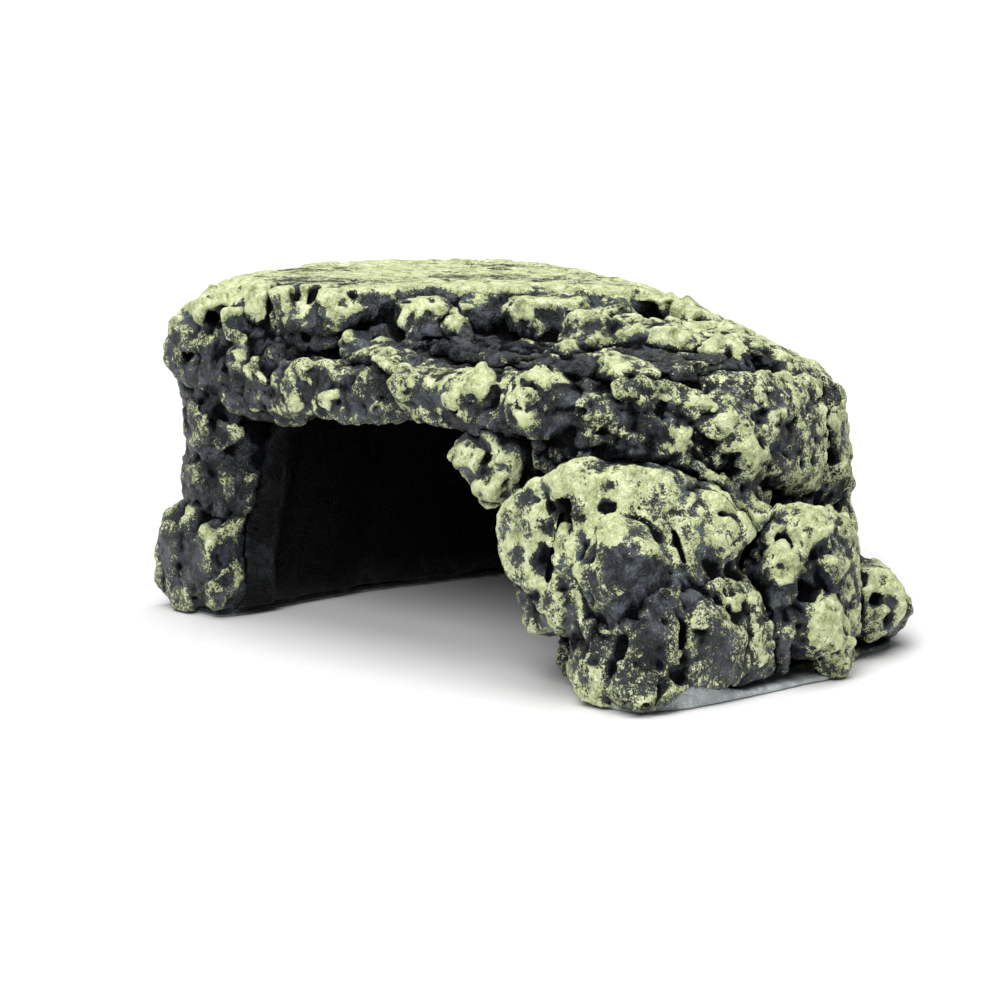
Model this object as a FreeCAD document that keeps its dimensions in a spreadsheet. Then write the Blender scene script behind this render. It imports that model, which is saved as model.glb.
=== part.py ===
import FreeCAD, Part
import os
import Sketcher

# ---------------------------------------------------------------------------
# Resin cave ornament (hide for a small aquarium or terrarium).
#
# A hollow horseshoe arch with one mouth, closed at the back, dressed all
# round with separate rock masses that are bonded into sockets in the arch.
# It stands on a thin ground resin rim.
#
# Frame: millimetres, +Z up. The origin is the centre of the 110 x 100 mm
# footprint on the resting plane. +X runs along the mouth side from the slim
# left pier to the heavy right pier, +Y runs from the mouth into the cave.
# ---------------------------------------------------------------------------

doc = FreeCAD.newDocument("resin_cave_ornament")
sheet = doc.addObject("Spreadsheet::Sheet", "sizes")

_row = [0]


def cell(alias, value):
    """One driving dimension: a plain number with a readable alias."""
    _row[0] += 1
    address = "B%d" % _row[0]
    sheet.set("A%d" % _row[0], alias)
    sheet.set(address, repr(float(value)))
    sheet.setAlias(address, alias)


# --- driving dimensions of the arch and its rim ----------------------------
cell("rim_height", 1.5)            # bare resin rim that meets the ground
cell("shell_height", 42.0)         # arch above the rim
cell("shell_lean", 9.0)            # inward lean of the outside, degrees
cell("cavity_height", 33.0)        # head room above the rim
cell("cavity_lean", 8.0)           # inward lean of the cave walls, degrees
cell("mouth_reach", 30.0)          # depth of the cut that opens the mouth
cell("mouth_plane", -56.0)         # the cut starts in front of the arch
cell("footprint_width", 110.0)
cell("footprint_depth", 100.0)
cell("mouth_width", 60.0)
cell("mouth_height", 34.0)

# --- rock masses -----------------------------------------------------------
# name, centre x, centre y, belly height, width, depth, rise above the belly,
# drop below the belly, lean above, lean below (degrees), top bevel,
# and the outline as fractions of width and depth.
ROCKS = [
    ("left_foot_rock", -46.05, -41.4, 6, 17.1, 16.8, 10, 4.5, 9, 3, 1.6,
     [(-0.5, -0.2738), (-0.1725, -0.4881), (0.3538, -0.5), (0.5, -0.2738), (0.4415, 0.2024), (0.0029, 0.5), (-0.4649, 0.4405)]),
    ("left_jamb_rock", -43.9, -41.7, 24, 13.4, 13.4, 9, 9, 1, 4, 1,
     [(-0.5, -0.2836), (-0.1567, -0.5), (0.291, -0.4403), (0.5, -0.1716), (0.4701, 0.2761), (-0.0075, 0.5), (-0.5, 0.3507)]),
    ("left_cornice_rock", -37.8, -38.4, 39, 31.6, 20.8, 6.5, 6.5, 12, 18, 1.6,
     [(-0.5, -0.2212), (-0.3544, -0.4712), (-0.0063, -0.5), (0.3418, -0.4423), (0.5, -0.1731), (0.3101, 0.2596), (-0.1329, 0.5), (-0.5, 0.2596)]),
    ("brow_ledge", -22, -41.7, 35.5, 44, 15.4, 4.5, 4, 12, 14, 0.8,
     [(-0.5, -0.2143), (-0.3182, -0.4481), (0.0909, -0.5), (0.3636, -0.4221), (0.5, -0.1494), (0.4545, 0.3052), (-0.0455, 0.5), (-0.4545, 0.3701)]),
    ("upper_knob_ledge", 16, -32.7, 44, 44, 29.4, 5.2, 4, 14, 16, 1,
     [(-0.5, -0.3503), (-0.3182, -0.4932), (-0.0455, -0.5), (0.2273, -0.3503), (0.4545, -0.0102), (0.5, 0.2619), (0.2727, 0.5), (-0.1818, 0.2959), (-0.4545, -0.0442)]),
    ("lintel_ledge", 13.5, -38.8, 37.5, 33, 17.6, 4, 4, 10, 14, 0.9,
     [(-0.5, -0.2386), (-0.3182, -0.5), (0.0758, -0.4773), (0.4091, -0.2159), (0.5, 0.1591), (0.2576, 0.5), (-0.2879, 0.3295)]),
    ("hanging_rock", 16.5, -40.75, 29.5, 16, 11.5, 5, 6.5, 6, 26, 0.8,
     [(-0.5, -0.1522), (-0.2188, -0.5), (0.2188, -0.4565), (0.5, -0.0217), (0.3438, 0.5), (-0.2812, 0.4565)]),
    ("strata_block", 34, -21.5, 34, 24, 43, 9, 6.5, 14, 4, 1.2,
     [(-0.4167, -0.5), (-0.0417, -0.5), (0.2917, -0.2907), (0.5, 0.0814), (0.4167, 0.407), (0, 0.5), (-0.25, 0.2209), (-0.5, -0.1977)]),
    ("front_boulder", 36.25, -37.5, 19, 29.5, 25, 12.5, 13.5, 20, 10, 2.4,
     [(-0.5, -0.18), (-0.3475, -0.428), (0.0254, -0.5), (0.3644, -0.34), (0.5, 0.02), (0.4322, 0.42), (0.1271, 0.5), (-0.2797, 0.3)]),
    ("front_foot_rock", 44, -34.8, 5, 22, 29.6, 11, 3.5, 8, 2, 1.4,
     [(-0.5, -0.3108), (-0.0909, -0.5), (0.3636, -0.4459), (0.5, -0.1757), (0.4364, 0.3649), (0.1818, 0.5), (-0.2727, 0.1622)]),
    ("side_rock", 45.25, -10.75, 10, 14.5, 27.5, 13, 8.5, 16, 1, 1.0,
     [(0.0517, -0.5), (0.4862, -0.4455), (0.5, -0.0455), (0.2241, 0.3545), (-0.1552, 0.5), (-0.5, 0.1727), (-0.3621, -0.3364)]),
    ("rear_foot_rock", 37.75, 10.75, 6, 17.5, 19.5, 6.5, 4.5, 14, 4, 1.4,
     [(0.1286, -0.5), (0.5, -0.3974), (0.3571, 0.0641), (-0.1, 0.5), (-0.5, 0.4231), (-0.3286, -0.2436)]),
    ("right_mid_rock", 32, 11, 16.5, 20, 18, 6, 6, 12, 8, 1.2,
     [(0.2, -0.5), (0.5, -0.3889), (0.25, 0.0556), (-0.2, 0.5), (-0.5, 0.2778), (-0.1, -0.2778)]),
    ("right_shoulder_rock", 27, 7.5, 29, 24, 25, 9.5, 8, 22, 8, 0,
     [(0, -0.42), (0.5, -0.5), (0.5, -0.14), (0.25, 0.18), (-0.2083, 0.5), (-0.5, 0.46), (-0.3333, -0.1)]),
    ("shoulder_slab", 17, -9, 41, 28, 34, 4.6, 3.2, 30, 6, 0.8,
     [(-0.3214, -0.5), (0.25, -0.4706), (0.5, -0.1471), (0.4286, 0.2647), (0.1071, 0.5), (-0.3214, 0.4412), (-0.5, -0.0294)]),
    ("roof_slab", -18.25, -16, 45.6, 68.5, 60, 4.4, 3.2, 22, 10, 0.8,
     [(-0.4635, -0.4333), (-0.3467, -0.5), (-0.0839, -0.5), (0.1496, -0.4167), (0.2956, -0.3333), (0.4416, -0.25), (0.5, -0.1667), (0.4854, 0.0667), (0.354, 0.3), (0.062, 0.5), (-0.2591, 0.4667), (-0.4635, 0.2), (-0.5, -0.1333)]),
    ("left_side_rock", -48, -17, 15, 14, 32, 25, 13.5, 9, 3, 0.8,
     [(-0.4286, -0.4688), (0.1429, -0.5), (0.5, 0.0312), (0.2857, 0.4688), (-0.2857, 0.5), (-0.5, 0.0938)]),
    ("left_rear_rock", -45.25, 11, 12, 18.5, 30, 24, 10.5, 15, 3, 0,
     [(-0.3649, -0.4667), (0.1216, -0.5), (0.5, 0.1), (0.3919, 0.5), (-0.2027, 0.4333), (-0.5, -0.0333)]),
    ("back_left_rock", -31, 34.75, 10, 34, 29.5, 23, 8.5, 15, 3, 0.6,
     [(-0.5, -0.3644), (-0.2059, -0.5), (0.3235, -0.1271), (0.5, 0.3475), (0.2059, 0.5), (-0.2059, 0.3136)]),
    ("back_right_rock", 1.5, 37, 11, 37, 26, 23, 9.5, 16, 3, 0,
     [(-0.5, -0.1154), (-0.0405, -0.3462), (0.2838, -0.5), (0.5, -0.3462), (0.2297, 0.0769), (-0.1486, 0.4231), (-0.4189, 0.5)]),
    ("right_rear_rock", 20.5, 22.5, 10, 21, 21, 17, 8.5, 14, 3, 0.6,
     [(-0.3571, -0.0714), (0.2143, -0.5), (0.5, -0.2619), (0.3571, 0.0238), (-0.0714, 0.4048), (-0.5, 0.5)]),
    ("rear_roof_rock", -17.2, 15.5, 39, 60.4, 37, 6.5, 4.2, 30, 8, 0.6,
     [(-0.4768, -0.5), (-0.2119, -0.2838), (0.1523, -0.2027), (0.3841, -0.3649), (0.5, -0.0946), (0.3179, 0.3108), (0.0199, 0.5), (-0.3113, 0.3108), (-0.5, -0.0676)]),
]

for row in ROCKS:
    name = row[0]
    for word, value in zip(("east", "north", "belly", "width", "depth", "rise",
                            "drop", "leanup", "leandown", "bevel"), row[1:11]):
        cell(name + "_" + word, value)

doc.recompute()


def plane(body, role):
    """The body's own origin plane with the given role."""
    for feature in body.Origin.OriginFeatures:
        if feature.Role == role:
            return feature
    raise RuntimeError("no plane " + role)


def outline(body, name, role, points, across, along, offset=None):
    """A closed polygon sketch whose corners are fractions of two cells."""
    sketch = body.newObject("Sketcher::SketchObject", name)
    sketch.AttachmentSupport = (plane(body, role), [""])
    sketch.MapMode = "FlatFace"
    if offset:
        sketch.setExpression(".AttachmentOffset.Base.z", offset)
    wide = sheet.get(across)
    deep = sheet.get(along)
    n = len(points)
    at = [FreeCAD.Vector(fx * wide, fy * deep, 0) for fx, fy in points]
    for i in range(n):
        sketch.addGeometry(Part.LineSegment(at[i], at[(i + 1) % n]), False)
    for i in range(n):
        sketch.addConstraint(Sketcher.Constraint("Coincident", i, 2, (i + 1) % n, 1))
    for i in range(n):
        k = sketch.addConstraint(Sketcher.Constraint("DistanceX", -1, 1, i, 1, at[i].x))
        sketch.renameConstraint(k, "corner%dx" % i)
        sketch.setExpression("Constraints.corner%dx" % i,
                             "sizes.%s * %.5f" % (across, points[i][0]))
        k = sketch.addConstraint(Sketcher.Constraint("DistanceY", -1, 1, i, 1, at[i].y))
        sketch.renameConstraint(k, "corner%dy" % i)
        sketch.setExpression("Constraints.corner%dy" % i,
                             "sizes.%s * %.5f" % (along, points[i][1]))
    sketch.Visibility = False
    return sketch


def make_rock(row):
    """One rock mass: a faceted block that bellies out and is bevelled on top."""
    name, points = row[0], row[11]
    body = doc.addObject("PartDesign::Body", name + "_body")
    for axis, word in (("x", "east"), ("y", "north"), ("z", "belly")):
        body.setExpression(".Placement.Base." + axis, "sizes.%s_%s" % (name, word))
    sketch = outline(body, name + "_outline", "XY_Plane", points,
                     name + "_width", name + "_depth")
    crown = body.newObject("PartDesign::Pad", name + "_crown")
    crown.Profile = sketch
    crown.setExpression("Length", "sizes.%s_rise" % name)
    crown.setExpression("TaperAngle", "-sizes.%s_leanup" % name)
    skirt = body.newObject("PartDesign::Pad", name + "_skirt")
    skirt.Profile = sketch
    skirt.Reversed = True
    skirt.setExpression("Length", "sizes.%s_drop" % name)
    skirt.setExpression("TaperAngle", "-sizes.%s_leandown" % name)
    doc.recompute()
    if sheet.get(name + "_bevel") == 0:
        body.Tip = skirt
        return body
    top = None
    for i, face in enumerate(skirt.Shape.Faces):
        if face.CenterOfMass.z > sheet.get(name + "_rise") - 0.01 and abs(face.normalAt(0, 0).z) > 0.9:
            top = "Face%d" % (i + 1)
    bevel = body.newObject("PartDesign::Chamfer", name + "_bevel")
    bevel.Base = (skirt, [top])
    bevel.setExpression("Size", "sizes.%s_bevel" % name)
    body.Tip = bevel
    doc.recompute()
    if "Invalid" in [str(word) for word in bevel.State]:
        raise RuntimeError(name + ": the bevel is too large for its top face")
    return body


# --- cave shell: hollow arch with one mouth --------------------------------
shell = doc.addObject("PartDesign::Body", "cave_shell_body")
shell.setExpression(".Placement.Base.z", "sizes.rim_height")
OUTER = [(-49, -42.6), (-40, -45.1), (31, -43.9), (43.6, -35.6), (46.6, -21), (40.5, 0), (31, 12),
         (17, 24), (0, 37), (-14, 41), (-33, 37), (-43, 24), (-49, 8)]
CAVITY = [(-39.5, -38), (-41.5, -20), (-38, 8), (-26, 27), (-8, 34), (8, 26), (22, 10),
          (31, -12), (33, -30), (30, -40)]
MOUTH = [(-37.6, -0.6), (-38.6, 8.5), (-36.9, 17.7), (-35.5, 26), (-31.5, 30), (-20, 32),
         (-6, 34), (5, 34.2), (12, 32), (20, 26), (27, 18), (31, -0.6)]


def share(points, wide, deep):
    return [(round(px / wide, 5), round(py / deep, 5)) for px, py in points]


outer = outline(shell, "shell_outline", "XY_Plane", share(OUTER, 110.0, 100.0),
                "footprint_width", "footprint_depth")
arch = shell.newObject("PartDesign::Pad", "shell_arch")
arch.Profile = outer
arch.setExpression("Length", "sizes.shell_height")
arch.setExpression("TaperAngle", "-sizes.shell_lean")
doc.recompute()
cave = outline(shell, "cave_outline", "XY_Plane", share(CAVITY, 110.0, 100.0),
               "footprint_width", "footprint_depth")
hollow = shell.newObject("PartDesign::Pocket", "shell_cave")
hollow.Profile = cave
hollow.Reversed = True
hollow.setExpression("Length", "sizes.cavity_height")
hollow.setExpression("TaperAngle", "-sizes.cavity_lean")
doc.recompute()
if not hollow.Shape.Volume < arch.Shape.Volume - 1000:
    raise RuntimeError("the cave pocket cut nothing")
door = outline(shell, "mouth_outline", "XZ_Plane", share(MOUTH, 60.0, 34.0),
               "mouth_width", "mouth_height", offset="-sizes.mouth_plane")
mouth = shell.newObject("PartDesign::Pocket", "shell_mouth")
mouth.Profile = door
mouth.setExpression("Length", "sizes.mouth_reach")
doc.recompute()
if not mouth.Shape.Volume < hollow.Shape.Volume - 1000:
    raise RuntimeError("the mouth pocket cut nothing")
shell.Tip = mouth

# --- ground rim ------------------------------------------------------------
RIM = [(-54, -45.5), (-48.5, -49), (-39.5, -49.2), (-37.6, -45), (-39.5, -38), (-41.5, -20),
       (-38, 8), (-26, 27), (-8, 34), (8, 26), (22, 10), (31, -12), (33, -30), (34, -43.4),
       (42.5, -49), (51.6, -47.4), (54.2, -39.6), (52.2, -12), (46, 3), (43.4, 11.8),
       (35.6, 20), (18.8, 30.4), (4, 41.8), (-13.6, 49.4), (-24, 48.8), (-38, 43.4),
       (-49, 24), (-54, 9), (-54.4, -14)]
rim = doc.addObject("PartDesign::Body", "base_rim_body")
rim_sketch = outline(rim, "rim_outline", "XY_Plane", share(RIM, 110.0, 100.0),
                     "footprint_width", "footprint_depth")
rim_pad = rim.newObject("PartDesign::Pad", "rim_pad")
rim_pad.Profile = rim_sketch
rim_pad.setExpression("Length", "sizes.rim_height")
rim.Tip = rim_pad

bodies = {row[0]: make_rock(row) for row in ROCKS}
doc.recompute()

# --- sockets ---------------------------------------------------------------
# Every mass is bonded to its neighbours: the one that lies behind or below
# carries the socket. A name cuts its socket in all the names before it.
ORDER = ["cave_shell", "rear_roof_rock", "left_side_rock", "back_left_rock", "left_rear_rock",
         "back_right_rock", "right_rear_rock", "strata_block", "right_mid_rock",
         "right_shoulder_rock", "shoulder_slab", "left_jamb_rock", "left_foot_rock",
         "lintel_ledge", "brow_ledge", "left_cornice_rock", "upper_knob_ledge", "roof_slab",
         "hanging_rock", "rear_foot_rock", "side_rock", "front_foot_rock", "front_boulder"]
bodies["cave_shell"] = shell


def meets(a, b):
    p, q = a.Shape.BoundBox, b.Shape.BoundBox
    if not p.intersect(q):
        return False
    return a.Shape.common(b.Shape).Volume > 0.001


final = {}
for i, name in enumerate(ORDER):
    item = bodies[name]
    for other in ORDER[i + 1:]:
        if meets(item, bodies[other]):
            cut = doc.addObject("Part::Cut", "%s_less_%s" % (name, other))
            cut.Base = item
            cut.Tool = bodies[other]
            cut.Refine = True
            doc.recompute()
            item = cut
    final[name] = item
final["base_rim"] = rim

# --- names -----------------------------------------------------------------
for name in list(final):
    final[name].Label = name

doc.recompute()

# --- checks before anything is written -------------------------------------
for obj in doc.Objects:
    state = [str(word) for word in obj.State]
    if "Invalid" in state or "Error" in state:
        raise RuntimeError("%s failed: %s" % (obj.Name, state))
low = FreeCAD.BoundBox()
for name, obj in final.items():
    shape = obj.Shape
    if shape.isNull() or not shape.isValid():
        raise RuntimeError(name + " has no valid shape")
    if len(shape.Solids) != 1:
        raise RuntimeError("%s has %d solids: %s" % (
            name, len(shape.Solids), [round(s.Volume, 2) for s in shape.Solids]))
    low.add(shape.BoundBox)
    print("%-22s %9.1f mm3  %3d faces" % (name, shape.Volume, len(shape.Faces)))
print("box", [round(v, 3) for v in (low.XMin, low.XMax, low.YMin, low.YMax, low.ZMin, low.ZMax)])

os.makedirs("parts", exist_ok=True)
for name, obj in final.items():
    obj.Shape.exportStep(os.path.join("parts", name + ".step"))
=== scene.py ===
import math
import bpy
import numpy as np
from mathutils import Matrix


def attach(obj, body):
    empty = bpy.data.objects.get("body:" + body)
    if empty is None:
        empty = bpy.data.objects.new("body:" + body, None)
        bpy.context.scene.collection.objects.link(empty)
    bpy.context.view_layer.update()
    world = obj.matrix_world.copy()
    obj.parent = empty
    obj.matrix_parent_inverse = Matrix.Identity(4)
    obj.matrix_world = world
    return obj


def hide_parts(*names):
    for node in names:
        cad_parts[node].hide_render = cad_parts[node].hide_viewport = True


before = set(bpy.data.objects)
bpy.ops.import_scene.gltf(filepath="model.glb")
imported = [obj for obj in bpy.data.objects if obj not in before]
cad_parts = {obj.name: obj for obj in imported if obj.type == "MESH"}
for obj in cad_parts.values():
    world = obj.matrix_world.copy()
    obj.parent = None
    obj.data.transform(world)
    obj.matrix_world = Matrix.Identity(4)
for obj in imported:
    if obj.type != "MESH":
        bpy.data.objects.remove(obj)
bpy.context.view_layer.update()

import openvdb
from mathutils import Vector

# ---------------------------------------------------------------------------
# Resin cave ornament, visual model.
# Every rock mass is sculpted as a distance field on one shared lattice (so
# neighbours seat in each other exactly), meshed, and painted by attributes
# worked out from its shape: brushed yellow-green paint on what stands proud,
# dark slate resin in the recesses, darkened further there as painted shade,
# and painted shade inside the cave.  Lengths here are millimetres in the
# CAD frame; the meshes are written in metres.
# ---------------------------------------------------------------------------

H = 0.34
ORG = np.array([-56.4, -51.4, -1.6], np.float32)
DIM = tuple(int(math.ceil(s / H)) for s in (112.8, 102.8, 53.6))
AX = [ORG[i] + H * np.arange(DIM[i], dtype=np.float32) for i in range(3)]
FAR = np.float32(6.0)

# name, belly height, rise, drop, lean up, lean down, outline
ROCKS = {
    "left_foot_rock": (6, 9.5, 5.8, 7, 2,
        [(-54.9, -48), (-49, -49.8), (-40, -49.8), (-37.5, -46), (-38.5, -38), (-46, -33), (-54.8, -34)]),
    "left_jamb_rock": (26, 10, 16, 1, 4,
        [(-51.6, -46.2), (-46, -48.6), (-40, -47.8), (-37.2, -44), (-37.6, -38), (-44, -35), (-51.4, -37)]),
    "left_cornice_rock": (38.5, 7, 8.5, 12, 10,
        [(-54, -43.6), (-49, -48.4), (-38, -48.8), (-27, -47.6), (-22, -42), (-28, -33), (-42, -28), (-54, -33)]),
    "brow_ledge": (35.5, 4.5, 4, 12, 14,
        [(-44, -45), (-36, -48.6), (-18, -49.4), (-6, -48.2), (0, -44), (-2, -37), (-24, -34), (-42, -36)]),
    "upper_knob_ledge": (41, 6.2, 2.4, 16, 16,
        [(-19, -42.6), (-9, -44.5), (2, -47.4), (14, -47.4), (26, -43), (36, -33), (38, -25), (29, -13), (14, -5), (2, -6), (-8, -16), (-16, -28)]),
    "lintel_ledge": (37.5, 4, 4, 10, 14,
        [(-3, -43), (3, -47.6), (16, -47.2), (27, -42.6), (30, -36), (22, -30), (4, -33)]),
    "hanging_rock": (29.5, 5, 6.5, 6, 26,
        [(8.5, -42.5), (13, -46.5), (20, -46), (24.5, -41), (22, -35), (12, -35.5)]),
    "strata_block": (33, 9.6, 8.5, 14, 3,
        [(24, -43), (33, -43), (41, -34), (46, -18), (44, -4), (34, 0), (28, -12), (22, -30)]),
    "front_boulder": (19, 12.2, 13.5, 24, 8,
        [(21.5, -42), (26, -48.2), (37, -50), (47, -46), (51, -37), (49, -27), (40, -25), (28, -30)]),
    "front_foot_rock": (5, 11, 3.5, 8, 2,
        [(33, -44), (42, -49.6), (52, -48), (55, -40), (53.6, -24), (48, -20), (38, -30)]),
    "side_rock": (10, 13, 8.5, 16, 1,
        [(46, -24.5), (52.3, -23), (52.5, -12), (48.5, -1), (43, 3), (38, -6), (40, -20)]),
    "rear_foot_rock": (6, 6.5, 4.5, 14, 4,
        [(40, 1), (46.5, 3), (44, 12), (36, 20.5), (29, 19), (32, 6)]),
    "right_mid_rock": (16.5, 6, 6, 12, 8,
        [(36, 1), (40.5, 2.6), (35, 9.5), (26, 17), (21, 14), (30, 5)]),
    "right_shoulder_rock": (29, 9.5, 8, 24, 8,
        [(27, -3), (39, -5), (39, 4), (33, 12), (22, 20), (15, 19), (19, 5)]),
    "shoulder_slab": (40.5, 5, 4.2, 34, 6,
        [(8, -26), (24, -25), (35, -18), (36, -2), (26, 9), (8, 6), (3, -10)]),
    "roof_slab": (45.6, 4.3, 4.2, 22, 10,
        [(-50, -42), (-42, -46), (-25, -46), (-21, -44), (-18.5, -40), (-16, -35.5), (-13.5, -30), (-9.5, -25), (-6, -20.5), (-3, -16), (1, -12), (6, -9.5), (8, -4), (6, 2), (-14, 14), (-36, 12), (-50, -4), (-52.5, -24)]),
    "left_side_rock": (15, 25, 13.5, 9, 3,
        [(-54, -32), (-46, -33), (-41, -16), (-44, -2), (-52, -1), (-55, -14)]),
    "left_rear_rock": (12, 24, 10.5, 15, 3,
        [(-52, -3), (-43, -4), (-36, 14), (-38, 26), (-49, 24), (-54.5, 10)]),
    "back_left_rock": (10, 23, 8.5, 15, 3,
        [(-48, 24), (-38, 20), (-20, 31), (-14, 45), (-24, 49.5), (-38, 44)]),
    "back_right_rock": (11, 23, 9.5, 16, 3,
        [(-17, 34), (0, 28), (12, 24), (20, 28), (10, 39), (-4, 48), (-14, 50)]),
    "right_rear_rock": (10, 17, 8.5, 14, 3,
        [(13, 21), (23, 10.5), (28, 14), (25, 20), (18, 28.5), (10, 33)]),
    "rear_roof_rock": (38, 6.5, 5, 34, 8,
        [(-46, -3), (-30, 5), (-8, 8), (6, 2), (13, 12), (2, 27), (-16, 34), (-36, 27), (-47.4, 13)]),
}
RIM_H = 1.5
SHELL_OUT = [(-49, -42.6), (-40, -45.1), (31, -43.9), (43.6, -35.6), (46.6, -21), (40.5, 0), (31, 12),
             (17, 24), (0, 37), (-14, 41), (-33, 37), (-43, 24), (-49, 8)]
SHELL_IN = [(-39.5, -38), (-41.5, -20), (-38, 8), (-26, 27), (-8, 34), (8, 26), (22, 10),
            (31, -12), (33, -30), (30, -40)]
MOUTH = [(-37.9, 0), (-38.8, 8.5), (-37, 17.7), (-35.6, 26.7), (-32.4, 31.2), (-20, 32.9),
         (-6, 34.6), (5, 35.3), (12, 33.6), (20, 27), (27, 18), (31, 0)]
RIM = [(-54, -45.5), (-48.5, -49), (-39.5, -49.2), (-37.6, -45), (-39.5, -38), (-41.5, -20),
       (-38, 8), (-26, 27), (-8, 34), (8, 26), (22, 10), (31, -12), (33, -30), (34, -43.4),
       (42.5, -49), (51.6, -47.4), (54.2, -39.6), (52.2, -12), (46, 3), (43.4, 11.8),
       (35.6, 20), (18.8, 30.4), (4, 41.8), (-13.6, 49.4), (-24, 48.8), (-38, 43.4),
       (-49, 24), (-54, 9), (-54.4, -14)]
# faces worn down on single masses, as (normal, offset)
SLOPES = {"upper_knob_ledge": [(0.161, -0.138, 0.977, 45.8)]}
for _n in ("side_rock", "right_mid_rock", "right_shoulder_rock", "right_rear_rock", "strata_block", "cave_shell", "back_right_rock"):
    SLOPES[_n] = [(0.6891, 0.7177, 0.1002, 32.19)]
SLOPES["rear_foot_rock"] = [(0.4789, 0.6288, 0.6125, 32.8), (0.6985, 0.5753, -0.4257, 34.46)]
# the later a name, the more it bites into the ones before it
ORDER = ["cave_shell", "rear_roof_rock", "left_side_rock", "back_left_rock", "left_rear_rock",
         "back_right_rock", "right_rear_rock", "strata_block", "right_mid_rock",
         "right_shoulder_rock", "shoulder_slab", "left_jamb_rock", "left_foot_rock",
         "lintel_ledge", "brow_ledge", "left_cornice_rock", "upper_knob_ledge", "roof_slab",
         "hanging_rock", "rear_foot_rock", "side_rock", "front_foot_rock", "front_boulder",
         "base_rim"]
YAW = math.radians(49.5)      # the front features are set out square to this direction
# the ornament's overall profile: nothing stands outside these planes (normal, offset)
PROFILE = [(-0.5937, -0.8046, 0.0117, 71.23), (-0.6005, -0.7959, 0.0771, 72.21),
           (-0.6013, -0.7586, 0.2509, 77.16), (-0.5955, -0.7353, 0.3235, 78.77),
           (-0.4345, -0.4237, 0.7948, 77.95), (-0.2429, -0.1361, 0.9605, 64.11),
           (-0.1322, 0.0133, 0.9911, 55.4), (-0.0739, 0.085, 0.9936, 52.27),
           (0.0564, 0.2323, 0.971, 47.55), (0.1947, 0.3726, 0.9073, 44.81),
           (0.2191, 0.3959, 0.8918, 44.47), (0.5596, 0.6657, 0.4936, 41.38),
           (0.6416, 0.707, 0.2976, 38.55), (0.7118, 0.7023, 0.0139, 39.65)]
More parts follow.
